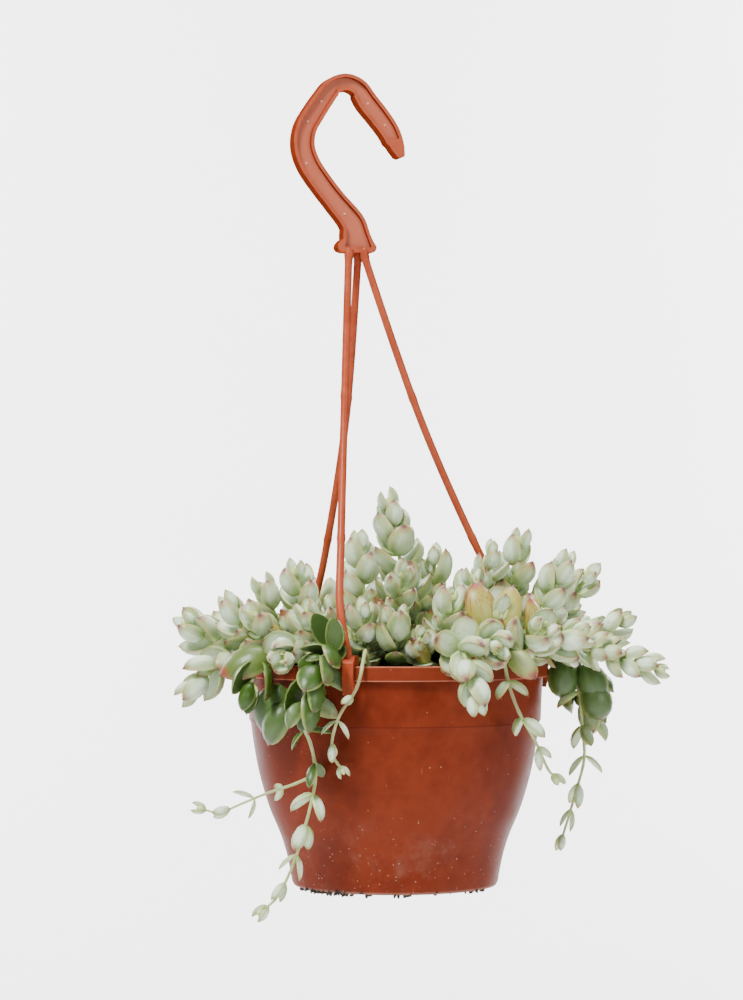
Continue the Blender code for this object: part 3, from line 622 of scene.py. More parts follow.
def modelClips():
    clips = []
    for angle in clipShape["angles"]:
        width = clipShape["width"]
        clip = drawPlate("clip", clipShape["outline"], -width / 2, width)
        addBevel(clip, clipShape["softEdge"], 2, 25)
        applyModifiers(clip)
        placeInMesh(clip, toPot @ Matrix.Rotation(math.radians(angle), 4, "Z"))
        clips.append(clip)
    return clips


markShape = {"spots": ((-11.2, -4.8), (-17.7, -14.2), (-18.3, -33.3), (-0.2, -55.6),
                       (10.9, -4.8), (19.1, -14.2)), "radius": 0.6, "height": 0.22,
             "softEdge": 0.1, "light": (0.62, 0.25, 0.16, 1.0), "deep": (0.50, 0.17, 0.10, 1.0)}


def makeEjectorPlastic():
    material, tree, shader = startMaterial("ejectorMarkPlastic", 0.4)
    mottle = mottled(tree, objectPlace(tree), 300.0, markShape["light"], markShape["deep"])
    tree.links.new(mottle.outputs["Colour"], shader.inputs["Base Color"])
    return material


def modelEjectorMarks():
    marks = []
    depth = plateShape["thickness"] / 2 - plateShape["recess"]
    for x, z in markShape["spots"]:
        for side in (-1, 1):
            clearSelection()
            bpy.ops.mesh.primitive_cylinder_add(vertices=16, radius=markShape["radius"],
                                                depth=2 * markShape["height"],
                                                location=(x, side * depth, z),
                                                rotation=(math.radians(90.0), 0.0, 0.0))
            mark = bpy.context.object
            addBevel(mark, markShape["softEdge"], 2, 40)
            applyModifiers(mark)
            marks.append(mark)
    whole = joinPieces(marks, "ejectorMarks")
    placeInMesh(whole, Matrix.Scale(mm, 4) @ Matrix.Rotation(plateShape["turn"], 4, "Z"))
    shadeSmooth(whole, 40)
    coverWith(whole, makeEjectorPlastic())
    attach(whole, "root")


def modelHanger():
    hanger = joinPieces([modelPlate()] + modelRods() + modelClips(), "hangerMoulding")
    evenNormals(hanger, 38)
    coverWith(hanger, makeHangerPlastic())
    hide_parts("hanger")
    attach(hanger, "root")
    modelEjectorMarks()


modelHanger()
print("hanger modelled")


# The plan of the plant: the same shoots as the solids, leaf for leaf, and more between them

leafKinds = {   # width and depth for a length of 1, fullness, hollow of the upper face, curl
    "plump": (0.68, 0.42, 0.54, -0.07, 0.12),
    "boat": (0.66, 0.36, 0.60, 0.03, 0.18),
    "round": (0.84, 0.42, 0.50, -0.02, 0.12),
    "broad": (0.78, 0.26, 0.56, 0.05, 0.20),
    "old": (0.64, 0.22, 0.72, 0.04, 0.28),
    "slim": (0.52, 0.24, 0.85, 0.03, 0.16),
    "bud": (0.58, 0.40, 0.75, -0.06, 0.08),
}
plan = {
    "clearance": 0.35, "largeLeaf": 19.0, "stationsLarge": (0.24, 0.52, 0.81),
    "stationsSmall": (0.32, 0.73), "ring": 5, "stemThinning": 0.4,
    "radii": {"branch": 0.7, "trailing": 1.0, "upright": 1.35},
    "soilEdge": -11.0, "soilCrown": 5.0, "soilRadius": 65.0, "rootDepth": 13.0,
    "soilLumps": (0.7, 0.31, 0.27, 0.13, 0.21),   # height and four waves
    "lastPair": 0.985, "crowding": 0.9,           # pairs stand closer towards the tip
    "tilts": (66, 44),                            # of the first pair, and how much it falls
    "lengths": (0.9, 0.1, 0.26, 2.5),             # oldest, swell, drop and its curve
    "turnDraw": 0.2, "tiltDraw": 0.16, "sizeDraw": (0.9, 1.08), "margin": 0.9,
}
frontHint = Vector((0.0, -1.0, 0.2))   # the side from which turns round a stem are counted

shoots = (   # name, points, pairs, longest leaf, where the first pair stands, kinds, turn
    ("crown", ((4, -4), (5, -5, 12), (3, -6, 42), (-3, -7, 69)), 8, 17.0, 0.32,
     ("boat", "round", "round", "plump"), 20),
    ("crown_front", ((-4, -17), (-3, -22, 6), (0, -29, 26), (3, -38, 38)), 5, 15.5, 0.42,
     ("boat", "plump", "plump"), 50),
    ("heart", ((18, 4), (18, 4, 12), (18, 2, 30), (18, 0, 44)), 4, 18.0, 0.46,
     ("broad", "boat", "boat"), 75),
    ("heart_front", ((30, -12), (31, -14, 8), (32, -18, 24), (34, -21, 35)), 4, 16.0, 0.42,
     ("broad", "boat", "plump"), 30),
    ("mid_front", ((20, -32), (21, -36, 4), (22, -44, 16), (24, -50, 28)), 5, 16.5, 0.38,
     ("broad", "plump", "plump"), 30),
    ("mid_low", ((7, -40), (8, -46, 1), (10, -54, 6), (11, -61, 11)), 3, 15.0, 0.34,
     ("broad", "boat", "plump"), 60),
    ("lip_front", ((25, -50), (26, -58, 4), (28, -73, 8), (31, -82, -1), (33, -84, -12)), 5, 16.0,
     0.44, ("round", "plump", "plump"), 45),
    ("lip_right", ((36, -42), (38, -50, 5), (41, -60, 9), (43, -68, 8)), 3, 15.5, 0.42,
     ("broad", "round", "plump"), 15),
    ("right_front", ((48, -30), (52, -36, 2), (58, -46, 10), (63, -57, 15)), 4, 20.0, 0.36,
     ("broad", "round", "boat"), 35),
    ("right_gold", ((37, -33), (39, -38, 4), (43, -46, 12), (45, -50, 19)), 3, 22.0, 0.30,
     ("broad", "broad", "boat"), 25),
    ("right_slim", ((36, -6), (38, -8, 10), (41, -13, 34), (43, -16, 48)), 3, 13.0, 0.60,
     ("slim", "boat", "bud"), 10),
    ("right_high", ((46, 4), (49, 1, 12), (53, -3, 34), (56, -5, 52)), 5, 16.5, 0.42,
     ("boat", "plump", "boat"), 60),
    ("right_tall", ((52, -8), (59, -9, 8), (68, -10, 26), (75, -12, 42)), 6, 16.5, 0.40,
     ("round", "plump", "plump"), 40),
    ("right_far", ((52, 25), (63, 28, 8), (77, 20, 24), (88, 11, 37)), 5, 16.5, 0.44,
     ("boat", "plump", "plump"), 15),
    ("right_low", ((54, -18), (62, -17, 6), (82, -16, 8), (95, -14, 12), (101, -13, 17)), 5, 17.0,
     0.44, ("broad", "boat", "boat"), 45),
    ("right_shoulder", ((50, -26), (58, -31, 6), (70, -38, 10), (79, -42, 12)), 4, 16.5, 0.46,
     ("round", "boat", "boat"), 20),
    ("right_wisp", ((52, -22), (61, -23, 6), (76, -26, 7), (94, -26, 5), (107, -24, 0),
                    (117, -22, -3)), 3, 13.0, 0.70, ("boat", "boat", "bud"), 80),
    ("right_under", ((56, 2), (65, 2, 6), (74, 3, 5), (83, 3, -6), (88, 2, -18), (90, 2, -28)), 4,
     17.0, 0.46, ("round", "round", "broad"), 20),
    ("arm_left", ((-31, -34), (-32, -38, 1), (-35, -44, 12), (-38, -49, 21)), 5, 16.5, 0.38,
     ("boat", "plump", "boat"), 65),
    ("arm_right", ((-13, -36), (-13, -42, 2), (-14, -50, 12), (-14, -55, 22)), 5, 15.5, 0.38,
     ("boat", "boat", "plump"), 25),
    ("left_high", ((-34, -14), (-38, -17, 8), (-42, -20, 24), (-44, -22, 38)), 5, 17.0, 0.38,
     ("boat", "plump", "plump"), 45),
    ("left_back", ((-40, 2), (-46, -2, 8), (-54, -6, 20), (-58, -8, 31)), 4, 16.0, 0.44,
     ("boat", "plump", "boat"), 10),
    ("left", ((-50, -12), (-58, -15, 5), (-67, -18, 12), (-73, -20, 23)), 5, 16.5, 0.40,
     ("broad", "plump", "boat"), 50),
    ("left_middle", ((-44, -24), (-50, -28, 5), (-58, -33, 12), (-62, -37, 20)), 4, 15.5, 0.40,
     ("boat", "boat", "plump"), 20),
    ("left_far", ((-54, 2), (-66, -1, 6), (-82, -7, 9), (-92, -11, 16)), 5, 17.0, 0.44,
     ("broad", "boat", "plump"), 40),
    ("left_low", ((-52, -22), (-61, -25, 5.5), (-70, -27, 5), (-80, -29, -2), (-90, -31, -10)), 5,
     17.5, 0.42, ("broad", "boat", "boat"), 55),
    ("lip_left", ((-36, -44), (-40, -53, 6), (-44, -62, 7), (-48, -71, 5)), 4, 17.0, 0.46,
     ("boat", "broad", "boat"), 40),
    ("under_left", ((-48, -34), (-52, -43, 6), (-59, -51, 3), (-63, -55, -8)), 3, 22.0, 0.44,
     ("old", "old", "broad"), 20),
    ("under_lip", ((-19, -45), (-26, -60, 6), (-32, -69, 4), (-37, -75, -6), (-40, -76, -16)), 3,
     21.0, 0.48, ("old", "old", "old"), 35),
    ("trail_left", ((-30, -50), (-34, -58, 5.5), (-39, -65, 4), (-43, -68, -8), (-42, -66, -22),
                    (-37, -64, -34), (-35, -63, -48), (-38, -63, -64), (-44, -64, -84),
                    (-51, -65, -99), (-57, -66, -105)), 8, 13.0, 0.30, ("slim", "boat", "slim"), 22),
    ("trail_left/side", ((-35, -63, -47), (-44, -64, -51), (-56, -65, -55), (-66, -66, -59),
                         (-76, -67, -63), (-83, -67, -62)), 4, 11.0, 0.30, ("slim", "slim", "bud"),
     10),
    ("trail_short", ((-11, -52), (-13, -62, 6), (-14, -69, 4), (-17, -73, -9), (-25, -71, -22),
                     (-28, -69, -36), (-24, -68, -44)), 4, 9.5, 0.55, ("slim", "slim", "bud"), 10),
    ("trail_thin", ((40, -42), (43, -49, 7), (46, -57, 7), (49, -62, -8), (54, -58, -21),
                    (61, -51, -33), (67, -46, -46), (70, -44, -49)), 4, 12.5, 0.45,
     ("boat", "boat", "slim"), 50),
    ("trail_right", ((59, -9), (67, -9, 5.5), (75, -8, 3), (83, -6, -12), (85, -5, -28),
                     (86, -5, -44), (82, -5, -60), (76, -5, -80)), 6, 13.0, 0.40,
     ("boat", "slim", "slim"), 70),
    ("back_crown", ((-12, 12), (-13, 14, 12), (-15, 16, 36), (-16, 17, 50)), 5, 17.0, 0.44,
     ("boat", "round", "plump"), 40),
    ("back_middle", ((12, 30), (13, 34, 8), (14, 42, 26), (14, 47, 38)), 4, 18.0, 0.42,
     ("broad", "boat", "plump"), 20),
    ("back_left", ((-24, 34), (-28, 38, 6), (-33, 46, 18), (-36, 52, 28)), 4, 18.0, 0.40,
     ("boat", "boat", "plump"), 60),
    ("back_right", ((38, 34), (42, 38, 6), (48, 46, 20), (52, 52, 31)), 4, 18.0, 0.40,
     ("broad", "boat", "plump"), 45),
    ("back_lip", ((2, 50), (2, 58, 5), (2, 72, 8), (1, 82, 0), (0, 85, -12)), 4, 18.0, 0.42,
     ("broad", "boat", "plump"), 30),
    ("back_far_left", ((-50, 22), (-60, 26, 5), (-74, 32, 7), (-84, 37, 14)), 4, 18.0, 0.40,
     ("broad", "boat", "boat"), 44),
    ("back_far_right", ((50, 29), (59, 34, 6), (74, 41, 7), (86, 47, 13)), 4, 18.0, 0.40,
     ("broad", "boat", "boat"), 35),
    ("back_under", ((33, 49), (37, 57, 6), (43, 66, 4), (47, 73, -7), (48, 74, -18)), 3, 20.0, 0.44,
     ("old", "broad", "old"), 15),
    ("trail_back", ((-18, 52), (-21, 61, 5.5), (-24, 69, 4), (-27, 73, -7), (-27, 72, -20),
                    (-25, 70, -40), (-28, 69, -60), (-33, 70, -78)), 5, 14.0, 0.36,
     ("boat", "slim", "slim"), 65),
)

# How a leaf gives way where it would touch another: (tilt, roll) in degrees and size
givingWay = ((0, 0, 1.0), (-9, 0, 1.0), (0, 14, 1.0), (0, -14, 1.0), (9, 0, 0.95), (-18, 0, 0.92),
             (-12, 18, 0.9), (-12, -18, 0.9), (-26, 0, 0.85), (0, 28, 0.84), (0, -28, 0.84),
             (12, 12, 0.8), (12, -12, 0.8), (-32, 12, 0.75), (-32, -12, 0.75), (-8, 0, 0.7),
             (0, 38, 0.68), (0, -38, 0.68), (-36, 0, 0.62), (-20, 24, 0.58), (-20, -24, 0.58))

spreads = {"right_gold": 0.5}   # shoots whose leaves stand more upright than the rest


def circlePoints(radius, sides):
    return [(radius * math.cos(2 * math.pi * i / sides), radius * math.sin(2 * math.pi * i / sides))
            for i in range(sides)]


def sideOf(direction, hint):   # the unit vector square to a direction that is nearest to the hint
    side = hint - direction * hint.dot(direction)
    if side.length < 1e-4:
        side = direction.orthogonal()
    return side.normalized()


def routeAt(route, share):
    place = min(max(share, 0.0), 1.0) * (len(route) - 1)
    k = min(int(place), len(route) - 2)
    return route[k].lerp(route[k + 1], place - k), (route[k + 1] - route[k]).normalized()


def roughTube(route, radii, sides):   # only for the tests of what touches what
    verts, faces, tangents = [], [], []
    for i in range(len(route)):
        tangents.append((route[min(i + 1, len(route) - 1)] - route[max(i - 1, 0)]).normalized())
    across = sideOf(tangents[0], Vector((1.0, 0.0, 0.0)))
    for point, tangent, radius in zip(route, tangents, radii):
        across = sideOf(tangent, across)
        other = tangent.cross(across)
        verts += [point + across * x + other * y for x, y in circlePoints(radius, sides)]
    for k in range(len(route) - 1):
        for i in range(sides):
            j = (i + 1) % sides
            a, b = k * sides, (k + 1) * sides
            faces.append((a + i, a + j, b + j, b + i))
    faces.append(tuple(reversed(range(sides))))
    faces.append(tuple(range(len(verts) - sides, len(verts))))
    return verts, faces


def roughLeaf(kind, length, grow=0.0):   # the solids' own leaf, for the same tests
    width, depth, fullness, hollow, curl = leafKinds[kind]
    stations = plan["stationsLarge"] if length >= plan["largeLeaf"] else plan["stationsSmall"]
    ring = plan["ring"]
    verts = [Vector((0.0, 0.0, 0.0))]
    for share in stations:
        spread = math.sin(math.pi * share) ** fullness
        half = 0.5 * width * length * spread + grow
        below = depth * length * spread ** 0.8 + grow
        middle = (0.02 - hollow * width * spread) * length + grow
        base = Vector((0.0, share * length, curl * length * share * share))
        verts += [base + Vector((x, 0.0, z)) for x, z in
                  ((-half, grow), (-0.6 * half, -0.8 * below), (0.6 * half, -0.8 * below),
                   (half, grow), (0.0, middle))]
    verts.append(Vector((0.0, length + grow, curl * length)))
    faces = []
    tip = len(verts) - 1
    last = tip - ring
    for i in range(ring):
        j = (i + 1) % ring
        faces.append((0, 1 + j, 1 + i))
        for k in range(len(stations) - 1):
            a, b = 1 + k * ring, 1 + (k + 1) * ring
            faces += [(a + i, a + j, b + j), (a + i, b + j, b + i)]
        faces.append((last + i, last + j, tip))
    return verts, faces


def bladeOf(shape):
    verts, faces = shape
    kept = [tuple(i - 1 for i in face) for face in faces if 0 not in face]
    return verts[1:], kept + [tuple(range(plan["ring"]))]


def placedShape(shape, matrix):
    verts, faces = shape
    return [matrix @ v for v in verts], faces


def leafFrame(foot, along, hint):   # a leaf grows along Y, and its upper face looks along Z
    up = sideOf(along, hint)
    across = along.cross(up)
    return Matrix.Translation(foot) @ Matrix((across, along, up)).transposed().to_4x4()


def leafMatrix(foot, axis, around, tilt, roll):
    out = Matrix.Rotation(roll, 3, axis) @ around
    return leafFrame(foot, (axis * math.cos(tilt) + out * math.sin(tilt)).normalized(), axis)


def pickAt(row, part):   # the entry that stands at a share of a row
    return row[min(int(part * len(row)), len(row) - 1)]


kept = []   # everything placed so far: owner, box and tree


def boxOf(verts):
    return ([min(v[i] for v in verts) for i in range(3)],
            [max(v[i] for v in verts) for i in range(3)])


def keepShape(owner, shape, store=kept):
    verts, faces = shape
    low, high = boxOf(verts)
    store.append((owner, low, high, BVHTree.FromPolygons(verts, faces)))


def touchesOther(owner, shape, store=kept):
    verts, faces = shape
    low, high = boxOf(verts)
    tree = None
    for other, otherLow, otherHigh, otherTree in store:
        if other == owner:
            continue
        if any(low[i] > otherHigh[i] or high[i] < otherLow[i] for i in range(3)):
            continue
        tree = tree or BVHTree.FromPolygons(verts, faces)
        if tree.overlap(otherTree):
            return True
    return False


roomLow, roomHigh = (toPot.inverted() @ Vector(corner) for corner in cadBox)


def leavesRoom(shape):   # whether a leaf would widen the whole plant
    return any(v[i] < roomLow[i] + plan["margin"] or v[i] > roomHigh[i] - plan["margin"]
               for v in shape[0] for i in range(3))


def soilLift(x, y):   # the crown of the soil and its gentle lumps
    part = math.hypot(x, y) / plan["soilRadius"]
    size, a, b, c, d = plan["soilLumps"]
    lumps = math.sin(x * a) * math.cos(y * b) + math.sin(x * c + y * d)
    return plan["soilCrown"] * (1.0 - part * part) + size * lumps * (1.0 - part ** 6)


def planStem(row):
    name, points, pairs, longest, first, kinds, phase = row
    trailing = name.startswith("trail")
    rooted = len(points[0]) == 2
    root = []
    if rooted:
        x, y = points[0]
        ground = plan["soilEdge"] + soilLift(x, y)
        root = [Vector((x, y, ground - plan["rootDepth"])), Vector((x, y, ground - 1.0))]
        points = [Vector((x, y, ground + 2.0))] + list(points[1:])
    leafy = smoothRoute(points, 2 * len(points) if trailing else len(points) + 2)
    radius = plan["radii"]["branch" if not rooted else "trailing" if trailing else "upright"]
    return {"name": name, "node": "stem_" + name.split("/")[0], "root": root, "points": points,
            "leafy": leafy, "radius": radius, "pairs": pairs, "longest": longest, "first": first,
            "kinds": kinds, "phase": phase, "sides": 5 if trailing else 4, "trailing": trailing}


def roughStem(stem):
    route = stem["root"] + stem["leafy"]
    last = len(route) - 1
    radii = [stem["radius"] * (1.0 - plan["stemThinning"] * i / last) for i in range(last + 1)]
    return roughTube(route, radii, stem["sides"])


def planLeaves(stem, clearance):
    draw = random.Random(stem["name"])
    own = []
    leaves = []
    pairs = stem["pairs"]
    firstTilt, tiltFall = plan["tilts"]
    oldest, swell, drop, dropCurve = plan["lengths"]
    for k in range(pairs):
        part = k / max(pairs - 1, 1)
        share = stem["first"] + (plan["lastPair"] - stem["first"]) * part ** plan["crowding"]
        tilt = math.radians(firstTilt - tiltFall * part) * spreads.get(stem["name"], 1.0)
        length = stem["longest"] * (oldest + swell * math.sin(math.pi * part)
                                    - drop * part ** dropCurve)
        kind = "bud" if k == pairs - 1 else pickAt(stem["kinds"], part)
        foot, axis = routeAt(stem["leafy"], share)
        hint = sideOf(axis, frontHint)
        for side in (0, 1):
            turn = (math.radians(stem["phase"] + 90 * k + 180 * side)
                    + draw.uniform(-plan["turnDraw"], plan["turnDraw"]))
            around = Matrix.Rotation(turn, 3, axis) @ hint
            size = length * draw.uniform(*plan["sizeDraw"])
            lean = tilt + draw.uniform(-plan["tiltDraw"], plan["tiltDraw"])
            for giveTilt, giveRoll, giveSize in givingWay:
                place = leafMatrix(foot, axis, around, lean + math.radians(giveTilt),
                                   math.radians(giveRoll))
                leaf = placedShape(roughLeaf(kind, size * giveSize), place)
                if touchesOther(None, bladeOf(leaf), own):
                    continue
                guard = placedShape(roughLeaf(kind, size * giveSize, clearance), place)
                if touchesOther(stem["node"], guard):
                    continue
                keepShape(stem["node"], leaf)
                keepShape(stem["name"], bladeOf(leaf), own)
                leaves.append({"kind": kind, "size": size * giveSize, "place": place,
                               "part": part})
                break
    return leaves


extra = {   # smaller leaves where there is still room along a stem; slack lets them touch a little
    "start": 0.85, "last": 0.97, "reach": 24.0, "sizes": (0.92, 0.78, 0.64, 0.5), "slack": -0.45,
    "turns": (45, 67, 90), "turnDraw": 0.3, "tilts": (72, 46), "tiltDraw": 8,
}


def planExtraLeaves(stem):
    draw = random.Random("more on " + stem["name"])
    low, high = boxOf(stem["leafy"])
    near = [item for item in kept
            if all(item[1][i] < high[i] + extra["reach"] and item[2][i] > low[i] - extra["reach"]
                   for i in range(3))]
    start = stem["first"] * extra["start"]
    count = stem["pairs"] * 2
    firstTurn, nextTurn, otherTurn = extra["turns"]
    firstTilt, tiltFall = extra["tilts"]
    leaves = []
    for k in range(count):
        part = k / count
        foot, axis = routeAt(stem["leafy"], start + (extra["last"] - start) * part)
        hint = sideOf(axis, frontHint)
        kind = pickAt(stem["kinds"], part)
        for turn in range(4):
            angle = math.radians(stem["phase"] + firstTurn + nextTurn * k + otherTurn * turn)
            angle += draw.uniform(-extra["turnDraw"], extra["turnDraw"])
            around = Matrix.Rotation(angle, 3, axis) @ hint
            tilt = math.radians(firstTilt - tiltFall * part
                                + draw.uniform(-extra["tiltDraw"], extra["tiltDraw"]))
            place = leafMatrix(foot, axis, around, tilt, 0.0)
            for size in extra["sizes"]:
                length = stem["longest"] * size
                guard = bladeOf(placedShape(roughLeaf(kind, length, extra["slack"]), place))
                if touchesOther(None, guard, near) or leavesRoom(guard):
                    continue
                leaf = bladeOf(placedShape(roughLeaf(kind, length), place))
                keepShape(stem["node"], leaf)
                near.append(kept[-1])
                leaves.append({"kind": kind, "size": length, "place": place, "part": part})
                break
    return leaves


lowShoots = {   # between the others, spread evenly over the soil
    "count": 44, "seed": 11, "radius": 57.0, "rises": (12.0, 24.0), "outerFall": 0.1,
    "lean": 0.0028, "knee": (1.03, 0.3, 4.0), "pairs": 4, "longest": (14.5, 18.5), "first": 0.3,
    "kinds": ("broad", "boat", "plump"),
}


def planUndergrowth():
    draw = random.Random(lowShoots["seed"])
    stems = []
    count = lowShoots["count"]
    kneeOut, kneeUp, kneeDrop = lowShoots["knee"]
    for i in range(count):
        turn = i * math.pi * (3.0 - math.sqrt(5.0))
        radius = lowShoots["radius"] * math.sqrt((i + 0.5) / count)
        x, y = radius * math.cos(turn), radius * math.sin(turn)
        rise = draw.uniform(*lowShoots["rises"]) - lowShoots["outerFall"] * radius
        lean = 1.0 + lowShoots["lean"] * radius
        points = ((x, y), (x * kneeOut, y * kneeOut, rise * kneeUp - kneeDrop),
                  (x * lean, y * lean, rise))
        row = ("undergrowth_%d" % i, points, lowShoots["pairs"],
               draw.uniform(*lowShoots["longest"]), lowShoots["first"], lowShoots["kinds"],
               draw.uniform(0, 90))
        stem = planStem(row)
        stem["leaves"] = planLeaves(stem, extra["slack"])
        stems.append(stem)
    return stems


def keepNode(name):
    back = toPot.inverted()
    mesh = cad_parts[name].data
    keepShape(name, ([back @ v.co for v in mesh.vertices],
                     [tuple(p.vertices) for p in mesh.polygons]))


def planPlant():
    wall = potShape["wall"] + potShape["roughRim"]
    sides = potShape["roughSides"]
    rings = []
    for radius, height in wall:
        rings += [Vector((x, y, height)) for x, y in circlePoints(radius, sides)]
    faces = [(a * sides + i, a * sides + (i + 1) % sides, (a + 1) * sides + (i + 1) % sides,
              (a + 1) * sides + i) for a in range(len(wall) - 1) for i in range(sides)]
    keepShape("pot", (rings, faces))
    keepNode("hanger")
    stems = [planStem(row) for row in shoots]
    for stem in stems:
        keepShape(stem["node"], roughStem(stem))
    keepNode("soil")
    for stem in stems:
        stem["leaves"] = planLeaves(stem, plan["clearance"])
    for stem in stems:
        if not stem["trailing"]:
            stem["leaves"] += planExtraLeaves(stem)
    return stems


stems = planPlant()
undergrowth = planUndergrowth()
print("plant planned:", len(stems), "stems,", sum(len(s["leaves"]) for s in stems), "leaves and",
      sum(len(s["leaves"]) for s in undergrowth), "below")


# Leaf skin: green or golden flesh under a powdery bloom, with reddish margins and tips

leafSkin = {"flesh": (0.300, 0.400, 0.090, 1.0), "shade": (0.190, 0.290, 0.055, 1.0),
            "dark": (0.036, 0.084, 0.007, 1.0), "fresh": (0.540, 0.630, 0.090, 1.0),
            "gold": (0.350, 0.290, 0.014, 1.0), "bloom": (0.705, 0.825, 0.640, 1.0),
            "margin": (0.560, 0.650, 0.220, 1.0), "blush": (0.300, 0.045, 0.030, 1.0),
            "tip": (0.130, 0.045, 0.040, 1.0)}


def makeLeafSkin():
    material, tree, shader = startMaterial("leafSkin", 0.5)
    shader.inputs["Subsurface Weight"].default_value = 0.18
    shader.inputs["Subsurface Scale"].default_value = 0.003
    shader.inputs["Subsurface Radius"].default_value = (0.7, 1.0, 0.35)
    place = addNode(tree, "ShaderNodeAttribute", attribute_name="leafPlace").outputs["Vector"]
    look = addNode(tree, "ShaderNodeAttribute", attribute_name="leafLook")
    seed = addNode(tree, "ShaderNodeAttribute", attribute_name="leafSeed").outputs["Fac"]
    spot = addNode(tree, "ShaderNodeSeparateXYZ", {"Vector": place})
    aside = calculate(tree, "ABSOLUTE", spot.outputs["X"])
    along = spot.outputs["Y"]
    kind = addNode(tree, "ShaderNodeSeparateColor", {"Color": look.outputs["Color"]})
    bloomShare, goldShare, blushShare = (kind.outputs[c] for c in ("Red", "Green", "Blue"))
    freshShare = look.outputs["Alpha"]
    onPlant = objectPlace(tree)

    edge = stepUp(tree, aside, 0.80, 0.97)
    nearEdge = stepUp(tree, aside, 0.35, 0.95)
    point = stepUp(tree, along, 0.955, 0.99)
    lines = addNode(tree, "ShaderNodeMapping", {"Vector": place, "Scale": (7.0, 0.9, 7.0)})
    shifted = addNode(tree, "ShaderNodeVectorMath", {0: lines.outputs["Vector"], 1: seed},
                      operation="ADD").outputs["Vector"]
    streaks = noiseAt(tree, shifted, 1.6, 4.0, 0.65)
    cloud = mottled(tree, onPlant, 130.0, leafSkin["flesh"], leafSkin["shade"])
    darkness = calculate(tree, "SUBTRACT", 1.0, times(tree, bloomShare, 1.6), True)
    flesh = mixColours(tree, darkness, cloud.outputs["Colour"], leafSkin["dark"])
    flesh = mixColours(tree, freshShare, flesh, leafSkin["fresh"])
    flesh = layOver(tree, flesh, goldShare, stepUp(tree, along, 0.05, 0.6, 0.35, 1.0),
                    leafSkin["gold"])
    rim = times(tree, edge, calculate(tree, "SUBTRACT", 1.0, goldShare))
    flesh = layOver(tree, flesh, rim, stepUp(tree, bloomShare, 0.1, 0.6, 0.32, 0.75),
                    leafSkin["margin"])
    powder = bloomShare
    for left in (stepUp(tree, streaks, 0.25, 0.60, 0.62, 1.0),     # what streaks leave of it,
                 stepUp(tree, along, 0.0, 0.50, 0.12, 1.0),        # then the foot of the leaf,
                 stepUp(tree, nearEdge, 0.0, 1.0, 1.0, 0.36),      # its margins,
                 stepUp(tree, along, 0.70, 1.0, 1.0, 0.40),        # its tip and small rubs
                 spanOf(tree, speckled(tree, onPlant, 520.0, 0.14, 0.5), 1.0, 0.6)):
        powder = times(tree, powder, left, True)
    skin = mixColours(tree, powder, flesh, leafSkin["bloom"])
    blushEdge = times(tree, edge, stepUp(tree, along, 0.30, 0.92))
    blushStreak = times(tree, times(tree, goldShare, stepUp(tree, along, 0.25, 0.75)),
                        stepUp(tree, streaks, 0.50, 0.60))
    blush = calculate(tree, "MAXIMUM", blushEdge, stepUp(tree, along, 0.84, 0.98))
    blush = calculate(tree, "MAXIMUM", blush, blushStreak)
    skin = mixColours(tree, times(tree, blush, blushShare, True), skin, leafSkin["blush"])
    marks = calculate(tree, "MAXIMUM", times(tree, point, 0.9),
                      times(tree, speckled(tree, onPlant, 170.0, 0.10, 0.16), 0.7))
    skin = mixColours(tree, marks, skin, leafSkin["tip"])
    tree.links.new(skin, shader.inputs["Base Color"])
    tree.links.new(spanOf(tree, powder, 0.36, 0.62), shader.inputs["Roughness"])
    relief = calculate(tree, "ADD", times(tree, streaks, 0.6),
                       times(tree, cloud.outputs["Mask"], 0.4))
    addRelief(tree, shader, relief, 0.00022, 0.55)
    return material


stemSkin = {"light": (0.47, 0.52, 0.24, 1.0), "deep": (0.30, 0.36, 0.12, 1.0),
            "woody": (0.20, 0.13, 0.06, 1.0), "woodyFoot": -12.0}


def makeStemSkin():
    material, tree, shader = startMaterial("stemSkin", 0.55)
    shader.inputs["Subsurface Weight"].default_value = 0.12
    shader.inputs["Subsurface Scale"].default_value = 0.002
    place = objectPlace(tree)
    mottle = mottled(tree, place, 160.0, stemSkin["light"], stemSkin["deep"])
    off = calculate(tree, "SUBTRACT", heightOf(tree, place),
                    (rimHeight + stemSkin["woodyFoot"]) * mm)
    low = stepUp(tree, calculate(tree, "ABSOLUTE", off), 0.012, 0.004)
    tree.links.new(layOver(tree, mottle.outputs["Colour"], low, 0.7, stemSkin["woody"]),
                   shader.inputs["Base Color"])
    addRelief(tree, shader, mottle.outputs["Mask"], 0.0001, 0.5)
    return material


# The leaf of each kind is modelled once: a ring pulled into a boat, flattened above and bent

leafModel = {
    "sides": 8,
    "stations": ((0.02, 0.22), (0.12, 0.56), (0.30, 0.90), (0.50, 1.00), (0.69, 0.93),
                 (0.85, 0.70), (0.95, 0.38), (0.985, 0.13)),
    "tip": 0.05, "depthShare": 0.92, "usualFullness": 0.6, "depthCurve": 0.8, "flatness": 0.02,
}


